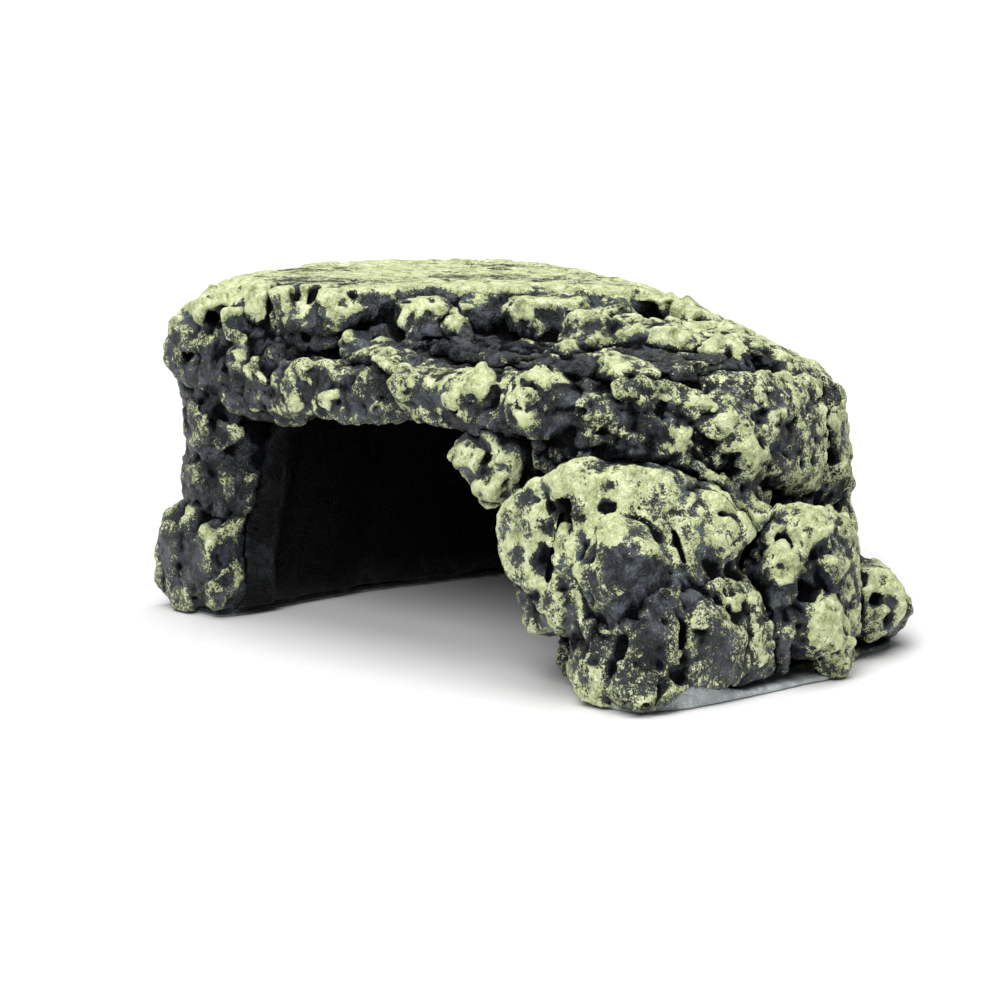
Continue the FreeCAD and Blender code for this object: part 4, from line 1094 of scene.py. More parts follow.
def poly_sdf(x, y, pts):
    """Signed distance to a polygon in the plane, negative inside."""
    d = np.full(np.broadcast(x, y).shape, 1e9, np.float32)
    inside = np.zeros(d.shape, bool)
    n = len(pts)
    for i in range(n):
        ax, ay = pts[i]
        bx, by = pts[(i + 1) % n]
        ex, ey = bx - ax, by - ay
        t = np.clip(((x - ax) * ex + (y - ay) * ey) / (ex * ex + ey * ey), 0, 1)
        d = np.minimum(d, (x - ax - t * ex) ** 2 + (y - ay - t * ey) ** 2)
        c = ((ay <= y) & (by > y)) | ((by <= y) & (ay > y))
        cross = ax + (y - ay) / (by - ay + 1e-9) * ex
        inside ^= c & (x < cross)
    d = np.sqrt(d)
    return np.where(inside, -d, d).astype(np.float32)


def fib(n, rng, jitter=0.25):
    """Directions spread over a sphere."""
    k = np.arange(n) + 0.5
    z = 1 - 2 * k / n
    a = math.pi * (1 + 5 ** 0.5) * k + rng.uniform(0, 6.28)
    r = np.sqrt(1 - z * z)
    d = np.stack([r * np.cos(a), r * np.sin(a), z], 1) + rng.normal(0, jitter, (n, 3))
    return d / np.linalg.norm(d, axis=1)[:, None]


def chunk(c, size, yaw, roll, seed, k, flat):
    """A faceted, rounded lump as a small field; returns (window, field).
    flat under 0.94 gives a few broad facets, over it a worn dome."""
    rng = np.random.RandomState(seed)
    nf = 16 if flat < 0.94 else 46
    if flat < 0.94:
        flat *= 0.88
    else:
        k = 1.4
    a, b, h = size
    m = max(size) + 1.6
    w = Win([c[i] - m for i in range(3)], [c[i] + m for i in range(3)])
    d = fib(nf, rng)
    s = np.sqrt((a * d[:, 0]) ** 2 + (b * d[:, 1]) ** 2 + (h * d[:, 2]) ** 2)
    s *= rng.uniform(flat, 1.0, nf)
    cr, sr = math.cos(math.radians(roll)), math.sin(math.radians(roll))
    # roll turns across/up (positive: the right end goes down), then yaw about the vertical
    dx, dz = d[:, 0] * cr + d[:, 2] * sr, -d[:, 0] * sr + d[:, 2] * cr
    dy = d[:, 1]
    cy, sy = math.cos(yaw), math.sin(yaw)
    wx, wy, wz = dx * cy - dy * sy, dx * sy + dy * cy, dz
    x, y, z = w.x - np.float32(c[0]), w.y - np.float32(c[1]), w.z - np.float32(c[2])
    f = None
    for i in range(nf):
        p = x * np.float32(wx[i]) + y * np.float32(wy[i]) + (z * np.float32(wz[i]) - np.float32(s[i]))
        f = p if f is None else smax(f, p, max(k, 0.12))
    return w, f


def capsule(p, q, r, squash=1.0):
    p, q = np.array(p, float), np.array(q, float)
    m = r + 1.5
    w = Win(np.minimum(p, q) - m, np.maximum(p, q) + m)
    e = q - p
    x, y, z = w.x - p[0], w.y - p[1], w.z - p[2]
    t = np.clip((x * e[0] + y * e[1] + z * e[2]) / float(e @ e + 1e-9), 0, 1).astype(np.float32)
    d = np.sqrt((x - t * e[0]) ** 2 + (y - t * e[1]) ** 2 + (z - t * e[2]) ** 2)
    return w, (d - r).astype(np.float32)


def blend(win, f, piece, k, sign):
    """Adds (+) or carves (-) a small field."""
    w, g = piece
    o = win.inside(w)
    if o is None:
        return
    mine, theirs = o
    f[mine] = smin(f[mine], g[theirs], k) if sign > 0 else smax(f[mine], -g[theirs], k)


def cells(win, f, length, seed, squash=(1, 1, 1), band=3.2):
    """Chipped facets: a random plane per cell of a jittered cell pattern.
    Returns the offset (about -1..1) and how near a cell border each point is."""
    idx = np.flatnonzero(np.abs(f) < band)
    out = np.zeros(f.size, np.float32)
    edge = np.ones(f.size, np.float32)
    if not len(idx):
        return out.reshape(f.shape), edge.reshape(f.shape)
    i, j, k = np.unravel_index(idx, f.shape)
    p = [(win.x.ravel()[i] / (length * squash[0])).astype(np.float32) + 50,
         (win.y.ravel()[j] / (length * squash[1])).astype(np.float32) + 50,
         (win.z.ravel()[k] / (length * squash[2])).astype(np.float32) + 50]
    for c in range(3):      # bent cell walls
        p[c] += 0.22 * noise(win, length * 0.9, length * 0.9, length * 0.7, seed + 7 + c).ravel()[idx]
    n = 64
    rng = np.random.RandomState(seed)
    jit = [rng.uniform(0.1, 0.9, n ** 3).astype(np.float32) for _ in range(3)]
    tilt = [rng.normal(0, 0.8, n ** 3).astype(np.float32) for _ in range(3)]
    lift = rng.uniform(-0.6, 0.6, n ** 3).astype(np.float32)
    base = [np.floor(q - 0.5).astype(np.int32) for q in p]
    best = np.full(len(idx), 9e9, np.float32)
    second = np.full(len(idx), 9e9, np.float32)
    val = np.zeros(len(idx), np.float32)
    for a in (0, 1):
        for b in (0, 1):
            for c in (0, 1):
                ci, cj, ck = base[0] + a, base[1] + b, base[2] + c
                h = ((ci * 73856093) ^ (cj * 19349663) ^ (ck * 83492791)) & (n ** 3 - 1)
                dx = p[0] - ci - jit[0][h]
                dy = p[1] - cj - jit[1][h]
                dz = p[2] - ck - jit[2][h]
                d = dx * dx + dy * dy + dz * dz
                v = lift[h] + tilt[0][h] * dx + tilt[1][h] * dy + tilt[2][h] * dz
                near = d < best
                second = np.where(near, best, np.minimum(second, d))
                val = np.where(near, v, val)
                best = np.where(near, d, best)
    out[idx] = np.clip(val, -0.95, 0.95)
    edge[idx] = np.sqrt(second) - np.sqrt(best)
    return out.reshape(f.shape), edge.reshape(f.shape)


def body_field(name, win):
    z0, up, dn, tu, td, pts = ROCKS[name]
    F = poly_sdf(win.x[:, :, 0], win.y[:, :, 0], pts)[:, :, None]
    z = win.z - np.float32(z0)
    a, b = math.radians(tu), math.radians(td)
    f = smax(F * np.float32(math.cos(a)) + z * np.float32(math.sin(a)),
             F * np.float32(math.cos(b)) - z * np.float32(math.sin(b)), 1.2)
    f = smax(f, z - np.float32(up) + np.zeros_like(f), 1.6)
    f = smax(f, -z - np.float32(dn) + np.zeros_like(f), 1.2)
    if name == "upper_knob_ledge":
        for a, b, c, d in SLOPES[name]:
            f = smax(f, win.x * np.float32(a) + win.y * np.float32(b) - 0.17 * np.maximum(win.x - 14, 0)
                     + (win.z * np.float32(c) - np.float32(d)), 1.0)
    if name == "upper_knob_ledge":
        f = smax(f, win.z - np.float32(49.0) + np.zeros_like(f), 0.8)
    # worn corners: random planes that shave the edges
    rng = np.random.RandomState(sum(map(ord, name)) * 7 % 9973)
    P = np.array([(x, y, z0 + s) for x, y in pts for s in (-dn * 0.6, 0, up * 0.6)])
    C = P.mean(0)
    size = (P.max(0) - P.min(0)).mean()
    for d in fib(16, rng, 0.35):
        s = ((P - C) @ d).max()
        s -= rng.uniform(0.01, 0.07) * size
        g = (win.x - np.float32(C[0])) * np.float32(d[0]) + (win.y - np.float32(C[1])) * np.float32(d[1]) \
            + ((win.z - np.float32(C[2])) * np.float32(d[2]) - np.float32(s))
        f = smax(f, g, 0.9)
    return f


def near_surface(f, win, count, rng, depth=0.35):
    idx = np.flatnonzero(np.abs(f.ravel()) < depth)
    if not len(idx):
        return np.zeros((0, 3))
    idx = rng.choice(idx, min(count, len(idx)), replace=False)
    i, j, k = np.unravel_index(idx, f.shape)
    return np.stack([win.x.ravel()[i], win.y.ravel()[j], win.z.ravel()[k]], 1)


# how each mass is worn: soft lumps, scallops, chip length and depth, raised rims,
# pits per cm2, layer depth and layer spacing
def style(lump=0.4, scal=0.5, fine=0.10, chip=4.4, cut=0.65, rim=0.35, pits=5.0, strata=0.2, period=2.6):
    return dict(lump=lump, scal=scal, fine=fine, chip=chip, cut=cut, rim=rim, pits=pits,
                strata=strata, period=period)


STYLE = {
    "default": style(),
    "roof_slab": style(lump=0.35, scal=0.35, chip=4.0, cut=0.4, rim=0.2, strata=0.0),
    "rear_roof_rock": style(lump=0.7, scal=0.7, chip=5.0),
    "shoulder_slab": style(lump=0.4, scal=0.6, chip=3.4, cut=0.5, rim=0.3, strata=0.0),
    "upper_knob_ledge": style(lump=0.15, scal=0.5, chip=3.0, cut=0.5, rim=0.4, pits=9.0, strata=0.0),
    "lintel_ledge": style(lump=0.15, scal=0.6, chip=2.6, cut=0.5, rim=0.4, pits=9.0, strata=0.0),
    "brow_ledge": style(lump=0.3, scal=0.65, chip=3.2, cut=0.55, rim=0.35, pits=9.0, strata=0.3, period=2.2),
    "left_cornice_rock": style(lump=0.4, scal=0.7, chip=4.2, cut=0.7, strata=0.1),
    "strata_block": style(lump=0.4, scal=0.55, fine=0.24, chip=2.2, cut=0.45, rim=0.3, pits=10.0, strata=0.42, period=2.6),
    "right_shoulder_rock": style(scal=0.7, chip=3.8, cut=0.9),
    "front_boulder": style(lump=0.2, scal=0.30, fine=0.10, chip=5.0, cut=0.34, rim=0.34, pits=4.0, strata=0.0),
    "front_foot_rock": style(lump=0.25, scal=0.42, fine=0.14, chip=3.4, cut=0.6, rim=0.35, pits=3.0, strata=0.1),
    "side_rock": style(lump=0.3, scal=0.48, chip=3.0, cut=0.6, pits=8.0, strata=0.4, period=3.2),
    "hanging_rock": style(lump=0.15, scal=0.45, fine=0.14, chip=2.8, cut=0.4, rim=0.3, strata=0.0),
    "left_jamb_rock": style(lump=0.4, scal=0.42, chip=5.2, cut=0.5, rim=0.2, pits=3.0, strata=0.0),
    "left_foot_rock": style(lump=0.4, scal=0.42, chip=5.2, cut=0.5, rim=0.2, pits=3.0, strata=0.0),
}


def weather(name, win, f):
    """Lumps, scallops, chips with raised rims, layers and creases."""
    s = STYLE.get(name, STYLE["default"])
    f += s["lump"] * noise(win, 8.5, 8.5, 6.5, 11)
    # crests: thin sharp ridges around dished hollows, three sizes
    def crest(lx, lz, seed, gain, soft):
        n = noise(win, lx, lx, lz, seed)
        return 1 - np.minimum((np.sqrt(n * n + soft * soft) - soft) * gain, 1)

    c1 = crest(5.6, 4.4, 12, 1.6, 0.07)
    c2 = crest(2.7, 2.2, 13, 1.6, 0.12)
    c3 = crest(1.4, 1.15, 22, 1.5, 0.20)
    f -= s["scal"] * (1.15 * (c1 ** 2 - 0.25) + (0.65 - 0.2 * c1) * (c2 ** 2 - 0.25) + 0.30 * (c3 ** 2 - 0.3))
    v, e = cells(win, f, s["chip"], 31 + len(name))
    m = np.clip(0.6 + 1.3 * noise(win, 7, 7, 6, 21), 0, 1)
    f += s["cut"] * v + s["rim"] * m * (np.minimum(e / 0.26, 1) ** 0.7 - 0.5)
    f += (1 - m) * 0.45 * np.exp(-(e / 0.11) ** 2)
    v, e = cells(win, f, s["chip"] * 0.45, 57 + len(name), band=2.4)
    f += 0.4 * s["cut"] * v + 0.4 * s["rim"] * m * (np.minimum(e / 0.35, 1) - 0.4)
    if s["strata"] > 0.25:
        n = noise(win, 3.4, 3.4, 0.95, 23)
        f -= 0.42 * s["strata"] * ((1 - np.minimum(np.abs(n) * 1.3, 1)) ** 2 - 0.3)
    if s["strata"] > 0:
        w = win.z / s["period"] + 0.55 * noise(win, 12, 12, 9, 14) + 0.15 * noise(win, 3, 3, 5, 15)
        layer = np.abs(np.mod(w, 1.0) - 0.5) * 2
        amount = np.clip(0.5 + 1.2 * noise(win, 9, 9, 6, 16), 0, 1)
        f += s["strata"] * (layer ** 5) * amount
        w = win.z / (s["period"] * 0.37) + 0.5 * noise(win, 7, 7, 6, 17)
        f += s["strata"] * 0.35 * (np.abs(np.mod(w, 1.0) - 0.5) * 2) ** 4 * (1 - amount)
    r = noise(win, 5.2, 5.2, 4.2, 18)
    f += 0.6 * np.exp(-(r / 0.05) ** 2) * np.clip(noise(win, 10, 10, 8, 19) + 0.2, 0, 1)
    f += s["fine"] * noise(win, 1.15, 1.15, 1.0, 20)
    return f


def pits(name, win, f, rng):
    s = STYLE.get(name, STYLE["default"])
    area = np.count_nonzero(np.abs(f) < H * 0.5) * H * H / 100.0
    count = int(area * s["pits"])
    for p in near_surface(f, win, count, rng):
        r = float(np.clip(rng.lognormal(-0.92, 0.35), 0.26, 0.72))
        w = Win(p - r - 1.2, p + r + 1.2)
        o = win.inside(w)
        if o is None:
            continue
        st = rng.uniform(0.6, 1.7, 3)
        d = np.sqrt(((w.x - p[0]) / st[0]) ** 2 + ((w.y - p[1]) / st[1]) ** 2 + ((w.z - p[2]) / st[2]) ** 2)
        d = d.astype(np.float32)[o[1]]
        g = f[o[0]]
        g = g - 0.14 * np.exp(-((d - r - 0.22) / 0.25) ** 2)      # a raised lip
        f[o[0]] = smax(g, r - d, 0.15)
    return f


def profile(win, f, ease, name=""):
    for a, b, c, d in PROFILE + (SLOPES.get(name, []) if name != "upper_knob_ledge" else []):
        g = win.x * np.float32(a) + win.y * np.float32(b) + (win.z * np.float32(c) - np.float32(d - ease))
        f = smax(f, g, 1.0)
    return f


def box_blur(a, r, axis):
    n = a.shape[axis]
    pad = [(0, 0)] * 3
    pad[axis] = (r + 1, r)
    c = np.cumsum(np.pad(a, pad, mode="edge"), axis=axis, dtype=np.float64)
    hi = [slice(None)] * 3
    lo = [slice(None)] * 3
    hi[axis] = slice(2 * r + 1, 2 * r + 1 + n)
    lo[axis] = slice(0, n)
    return ((c[tuple(hi)] - c[tuple(lo)]) / (2 * r + 1)).astype(np.float32)


def sculpt(name):
    if name == "cave_shell":
        win = Win((-53, -49, -0.5), (52, 46, 47))
        F = poly_sdf(win.x[:, :, 0], win.y[:, :, 0], SHELL_OUT)[:, :, None]
        G = poly_sdf(win.x[:, :, 0], win.y[:, :, 0], SHELL_IN)[:, :, None]
        z = win.z - np.float32(RIM_H)
        a, b = math.radians(9), math.radians(8)
        out = F * np.float32(math.cos(a)) + z * np.float32(math.sin(a))
        out = smax(out, z - np.float32(42.0) + np.zeros_like(out), 2.0)
        out += 0.7 * noise(win, 7, 7, 5, 41) + 0.45 * noise(win, 3, 3, 2.4, 42)
        out += 0.5 * np.abs(np.mod(win.z / 2.4 + 0.6 * noise(win, 11, 11, 8, 14), 1.0) - 0.5)
        cave = G * np.float32(math.cos(b)) + z * np.float32(math.sin(b))
        cave = smax(cave, z - np.float32(33.0) + np.zeros_like(cave), 7.0)
        cave += 0.9 * noise(win, 9, 9, 9, 43) + 0.4 * noise(win, 4, 4, 4, 44)
        # the ridge on the inside of the left wall
        M = poly_sdf(win.x[:, 0, :], win.z[:, 0, :], MOUTH)[:, None, :]
        door = smax(M + np.zeros_like(cave), win.y - np.float32(-28.0) + np.zeros_like(cave), 1.0)
        door += 0.35 * noise(win, 4, 4, 3, 45)
        out = profile(win, out, 1.6, name)
        out = weather(name, win, out)
        f = smax(out, -smin(cave, door, 2.0), 0.8)
        f = smax(f, np.float32(RIM_H * 0.8) - win.z + np.zeros_like(f), 0.3)
        f += 0.12 * noise(win, 1.3, 1.3, 1.3, 46)
        return win, f
    if name == "base_rim":
        win = Win((-56, -51, -1), (56, 51, 5))
        F = poly_sdf(win.x[:, :, 0], win.y[:, :, 0], RIM)[:, :, None]
        show = np.clip((win.x - 44) / 3.0, 0, 1) * np.clip((-6 - win.y) / 6.0, 0, 1)
        F = F + 1.3 + 1.2 * np.clip((win.x - 20) / 10.0, 0, 1) * np.clip((win.y + 6) / 6.0, 0, 1) - 0.9 * show + 0.25 * noise(win, 5, 5, 9, 47)
        along = np.clip((win.y + 47) / 45.0, 0, 1)
        top = 1.1 - 0.6 * along * show + 0.2 * noise(win, 4, 4, 9, 48)
        wedge = np.clip(1 - np.abs(win.y + 39.5) / np.where(win.y < -39.5, 8.0, 11.0), 0, 1)
        top = top + 2.3 * wedge * np.clip((win.x - 49.0) / 3.0, 0, 1)
        f = smax(F + np.zeros(win.shape, np.float32), win.z - top, 0.35)
        f = smax(f, -win.z + np.zeros(win.shape, np.float32), 0.12)
        return win, f
    z0, up, dn, tu, td, pts = ROCKS[name]
    xs, ys = [p[0] for p in pts], [p[1] for p in pts]
    win = Win((min(xs) - 3, min(ys) - 3, z0 - dn - 3), (max(xs) + 3, max(ys) + 3, z0 + up + 3))
    f = body_field(name, win)
    seed = sum(map(ord, name))
    rng = np.random.RandomState(seed)
    for n, (kind, x, y, z, a, b, c, roll, k, flat) in enumerate(STONES.get(name, [])):
        if kind == "add":
            blend(win, f, chunk((x, y, z), (a, b, c), YAW, roll, seed + n, k, flat), 0.35, 1)
    if name == "upper_knob_ledge":      # the knobs stop just short of the roof
        f = smax(f, win.z - np.float32(49.0) + np.zeros_like(f), 0.8)
    f = profile(win, f, {"left_foot_rock": -0.5, "left_jamb_rock": -0.3}.get(name, 0.15), name)
    f = weather(name, win, f)
    f = pits(name, win, f, rng)
    if name == "front_foot_rock":       # leaves the bare wedge of the rim showing
        wedge = np.clip(1 - np.abs(win.y + 39.5) / np.where(win.y < -39.5, 8.0, 11.0), 0, 1) \
            * np.clip((win.x - 47.0) / 3.0, 0, 1)
        f = smax(f, (0.1 + 3.1 * wedge - win.z).astype(np.float32) + np.zeros_like(f), 0.25)
    if name == "left_foot_rock":        # flush with the doorway
        f = smax(f, np.minimum(win.x + np.float32(39.4), win.y + np.float32(43.5)) + np.zeros_like(f), 0.3)
    if name in ("left_side_rock", "left_rear_rock", "back_left_rock", "back_right_rock", "right_rear_rock"):
        # nothing pokes through into the cave
        G = poly_sdf(win.x[:, :, 0], win.y[:, :, 0], SHELL_IN)[:, :, None]
        b = math.radians(8)
        f = smax(f, np.float32(1.7) - (G * np.float32(math.cos(b)) + (win.z - np.float32(RIM_H)) * np.float32(math.sin(b))), 0.3)
        M = poly_sdf(win.x[:, 0, :], win.z[:, 0, :], MOUTH)[:, None, :]
        f = smax(f, np.float32(1.3) - np.maximum(M, win.y + np.float32(28.0)), 0.3)
    for n, (kind, x, y, z, a, b, c, roll, k, flat) in enumerate(STONES.get(name, [])):
        if kind == "cut":
            blend(win, f, chunk((x, y, z), (a, b, c), YAW, roll, seed + n, k, flat), 0.3, -1)
    for x0, y0, z0_, x1, y1, z1, r, depth in GROOVES.get(name, []):
        steps = 3
        back = np.array([-math.sin(YAW), math.cos(YAW), 0.0])
        for q in range(steps):
            s = back * (depth - r) * q / (steps - 1)
            blend(win, f, capsule(np.array([x0, y0, z0_]) + s, np.array([x1, y1, z1]) + s, r), 0.25, -1)
    # thorns knocked off: nothing much finer than the lump it stands on
    q = np.clip(f, -2.5, 2.5)
    for ax in range(3):
        q = box_blur(box_blur(q, 2, ax), 1, ax)
    f = np.maximum(f, q - np.float32(0.31))
    # tiny spurs knocked off
    for ax in range(3):
        g = np.pad(f, [(1, 1) if i == ax else (0, 0) for i in range(3)], mode="edge")
        n = f.shape[ax]
        f = 0.1 * np.take(g, range(0, n), ax) + 0.8 * f + 0.1 * np.take(g, range(2, n + 2), ax)
    f = smax(f, np.float32(0.1) - win.z + np.zeros_like(f), 0.15)
    return win, f


# ----------------------------------------------------------- sculpt them all
FIELDS = {}
for name in ORDER:
    win, f = sculpt(name)
    # keep inside the design's box
    for lim, ax, sg in ((54.9, win.x, 1), (54.9, win.x, -1), (49.9, win.y, 1), (49.9, win.y, -1)):
        f = smax(f, sg * ax - np.float32(lim) + np.zeros_like(f), 0.5)
    f = smax(f, win.z - np.float32(49.9) + np.zeros_like(f), 0.5)
    FIELDS[name] = (win, np.clip(f, -FAR, FAR).astype(np.float32))

# the masses run into each other: a fillet creeps from the later one over the earlier,
# except where a crack is left open
WELDED = {("left_foot_rock", "left_jamb_rock"), ("left_cornice_rock", "left_jamb_rock"),
          ("brow_ledge", "left_jamb_rock"), ("left_cornice_rock", "brow_ledge"),
          ("front_boulder", "front_foot_rock"), ("lintel_ledge", "strata_block"),
          ("upper_knob_ledge", "shoulder_slab"), ("roof_slab", "rear_roof_rock")}
for j, name in enumerate(ORDER[:-1]):
    win, f = FIELDS[name]
    f = f.copy()
    crack = None
    for other in ORDER[:j]:
        w2, g = FIELDS[other]
        o = win.inside(w2)
        if not o:
            continue
        a, b = f[o[0]], g[o[1]]
        if other == "cave_shell" or not (np.abs(a) + np.abs(b) < 1.0).any():
            continue
        if crack is None:
            crack = np.clip(1.6 * noise(win, 6, 6, 5, 61) - 0.1, 0, 1)
        near = 0.30 + 0.75 * np.maximum(a, 0) + 2.2 * crack[o[0]]
        k = 1.7
        if (name, other) in WELDED or (other, name) in WELDED:
            near = 0.0 + 0.4 * np.maximum(a, 0)
            k = 2.6
        f[o[0]] = np.minimum(a, smin(a, b + near, k))
    FIELDS[name] = (win, f)

# the whole ornament, for what is proud (brushed paint) and what lies in recesses (painted shade)
ALL = np.full(DIM, FAR, np.float32)
for name in ORDER:
    win, f = FIELDS[name]
    sl = tuple(slice(win.a[i], win.b[i]) for i in range(3))
    ALL[sl] = np.minimum(ALL[sl], f)

# sockets: a later mass bites into the earlier ones
RAW = {n: FIELDS[n] for n in ORDER}
for i, name in enumerate(ORDER):
    win, f = FIELDS[name]
    f = f.copy()
    for other in ORDER[i + 1:]:
        w2, g = RAW[other]
        o = win.inside(w2)
        if o:
            f[o[0]] = np.maximum(f[o[0]], np.float32(0.03) - g[o[1]])
    FIELDS[name] = (win, f)


def soften(a, sigma):
    r = max(1, int(round(sigma / H * 1.22)))
    for _ in range(2):
        for axis in range(3):
            a = box_blur(a, r, axis)
    return a


SOFT = {"small": soften(ALL, 0.55), "mid": soften(ALL, 1.7), "large": soften(ALL, 4.5)}
PATCH = noise(Win((-60, -60, -5), (60, 60, 60)), 5.5, 5.5, 4.2, 71)
PATCH += 0.6 * noise(Win((-60, -60, -5), (60, 60, 60)), 2.1, 2.1, 1.8, 72)


def sample(grid, p):
    q = (p - ORG) / H
    q = np.clip(q, 0, np.array(grid.shape) - 1.001)
    i = q.astype(int)
    t = (q - i).astype(np.float32)
    out = 0
    for a in (0, 1):
        for b in (0, 1):
            for c in (0, 1):
                w = (t[:, 0] if a else 1 - t[:, 0]) * (t[:, 1] if b else 1 - t[:, 1]) * (t[:, 2] if c else 1 - t[:, 2])
                out = out + w * grid[i[:, 0] + a, i[:, 1] + b, i[:, 2] + c]
    return out


def slope(grid, p, d):
    g = np.stack([sample(grid, p + np.eye(3)[i] * d) - sample(grid, p - np.eye(3)[i] * d) for i in range(3)], 1)
    return g / (np.linalg.norm(g, axis=1)[:, None] + 1e-6)


def paint_of(name, p):
    """Brushed paint, painted shade of recesses, and the cave inside (no paint, painted shade) at each vertex."""
    small = sample(SOFT["small"], p)
    mid = sample(SOFT["mid"], p)
    large = sample(SOFT["large"], p)
    n = slope(SOFT["small"], p, 0.5)
    up = n[:, 2]
    patch = sample(PATCH, p)
    proud = 0.55 * np.clip(small / 0.07, -2, 2) + 0.45 * np.clip(mid / 0.45, -2, 2) + 0.10 * np.clip(large / 2.0, -2, 2)
    paint = -0.44 + 0.40 * proud + 0.20 * np.clip(up, -0.6, 1) + 0.30 * patch
    for x, y, z, r, amount in TOUCHES:
        d2 = (p[:, 0] - x) ** 2 + (p[:, 1] - y) ** 2 + (p[:, 2] - z) ** 2
        paint = paint + amount * 0.8 * np.exp(-d2 / (r * r))
    # per-mass paint offset, on the left-hand masses a painted shade
    paint = paint + SHADE_AND_PAINT_BIAS.get(name, 0.0)
    # top of the roof: nearly solid paint
    if name in ("roof_slab", "rear_roof_rock", "shoulder_slab"):
        paint = paint + (0.62 + 0.3 * patch) * np.clip((p[:, 2] - 42.5) / 3.0, 0, 1) * np.clip(up * 1.6 - 0.3, 0, 1)
    if name == "roof_slab":     # the broken edge stays bare
        paint = paint - 1.3 * np.clip((p[:, 0] + 19) / 2.0, 0, 1) * np.clip((0.55 - up) * 3, 0, 1)
    # painted shade: how far each vertex lies in a recess or crevice; the shader multiplies the slate colour towards
    # black there
    depth = np.clip(-0.15 - (mid / 0.42 + 0.5 * large / 2.0 + 0.45 * small / 0.12), 0, 1)
    # inside the cave: no brush reaches, and the colour there is painted shade, multiplied nearly to black in the shader
    G = poly_sdf(p[:, 0].astype(np.float32), p[:, 1].astype(np.float32), SHELL_IN)
    inside = np.clip((1.5 - G) / 2.0, 0, 1) * np.clip((38.5 - p[:, 2]) / 1.5, 0, 1)
    if name == "cave_shell":        # the sides of the doorway lie in its shade
        way = np.clip((p[:, 0] + 39.5) / 1.5, 0, 1) * np.clip((23 - p[:, 0]) / 2, 0, 1) * np.clip((37 - p[:, 2]) / 2, 0, 1)
        inside = np.maximum(inside, 0.85 * way * np.clip((9 - G) / 3, 0, 1))
    paint = paint - 3.0 * inside
    paint = np.where(p[:, 2] < 0.3, -2, paint)
    return np.clip(paint * 0.5 + 0.5, 0, 1), depth, np.clip(inside, 0, 1)


# less paint on some masses; on the left-hand masses this is painted shade, that side kept darker as if turned away from
# the light
SHADE_AND_PAINT_BIAS = {"cave_shell": -0.5, "left_jamb_rock": -0.30, "left_foot_rock": -0.16, "left_cornice_rock": -0.42,
        "brow_ledge": -0.40, "lintel_ledge": -0.22, "upper_knob_ledge": -0.10, "side_rock": -0.20,
        "front_foot_rock": -0.10, "rear_foot_rock": -0.22, "front_boulder": -0.06, "strata_block": -0.10,
        "right_shoulder_rock": -0.08, "base_rim": -0.7}


# ------------------------------------------------------------------ meshing
def mesh_from(name, win, f):
    pad = np.pad(f, 1, constant_values=FAR)
    grid = openvdb.FloatGrid(float(FAR))
    grid.copyFromArray(pad.astype(np.float32))
    pts, tris, quads = grid.convertToPolygons(0.0, 0.0)
    pts = np.asarray(pts, np.float64) - 1.0 + np.array(win.a)
    pts = pts * H + ORG
    pts = np.clip(pts, (-55, -50, 0), (55, 50, 50))
    quads = np.asarray(quads)[:, ::-1]
    return pts, quads, np.asarray(tris)[:, ::-1] if len(tris) else np.zeros((0, 3), int)


def keep_big(pts, quads, least=60):
    """Drops crumbs: shells with too few faces."""
    n = len(pts)
    lab = np.arange(n)
    q = quads
    for _ in range(200):
        m = lab[q].min(1)
        old = lab.copy()
        for c in range(4):
            np.minimum.at(lab, q[:, c], m)
        lab = lab[lab]
        if (lab == old).all():
            break
    face = lab[q[:, 0]]
    ids, cnt = np.unique(face, return_counts=True)
    good = ids[cnt >= max(least, cnt.max() * 0.02)]
    keep = np.isin(face, good)
    q = q[keep]
    used = np.unique(q)
    remap = np.full(n, -1)
    remap[used] = np.arange(len(used))
    return pts[used], remap[q]


def build(name, mat):
    win, f = FIELDS[name]
    pts, quads, tris = mesh_from(name, win, f)
    pts, quads = keep_big(pts, quads)
    me = bpy.data.meshes.new("sculpt_" + name)
    me.vertices.add(len(pts))
    me.vertices.foreach_set("co", (pts * 0.001).astype(np.float32).ravel())
    me.loops.add(quads.size)
    me.loops.foreach_set("vertex_index", quads.astype(np.int32).ravel())
    me.polygons.add(len(quads))
    me.polygons.foreach_set("loop_start", np.arange(0, quads.size, 4, dtype=np.int32))
    me.polygons.foreach_set("loop_total", np.full(len(quads), 4, np.int32))
    me.update(calc_edges=True)
    me.validate()
    me.polygons.foreach_set("use_smooth", np.ones(len(me.polygons), bool))
    paint, depth, inside = paint_of(name, pts)
    for label, data in (("brushed", paint), ("recess_shade", depth), ("inside", inside)):
        at = me.attributes.new(label, "FLOAT", "POINT")
        at.data.foreach_set("value", np.ascontiguousarray(data, np.float32))
    me.materials.append(mat)
    ob = bpy.data.objects.new("sculpt_" + name, me)
    bpy.context.scene.collection.objects.link(ob)
    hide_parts(name)
    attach(ob, "root")
    return ob


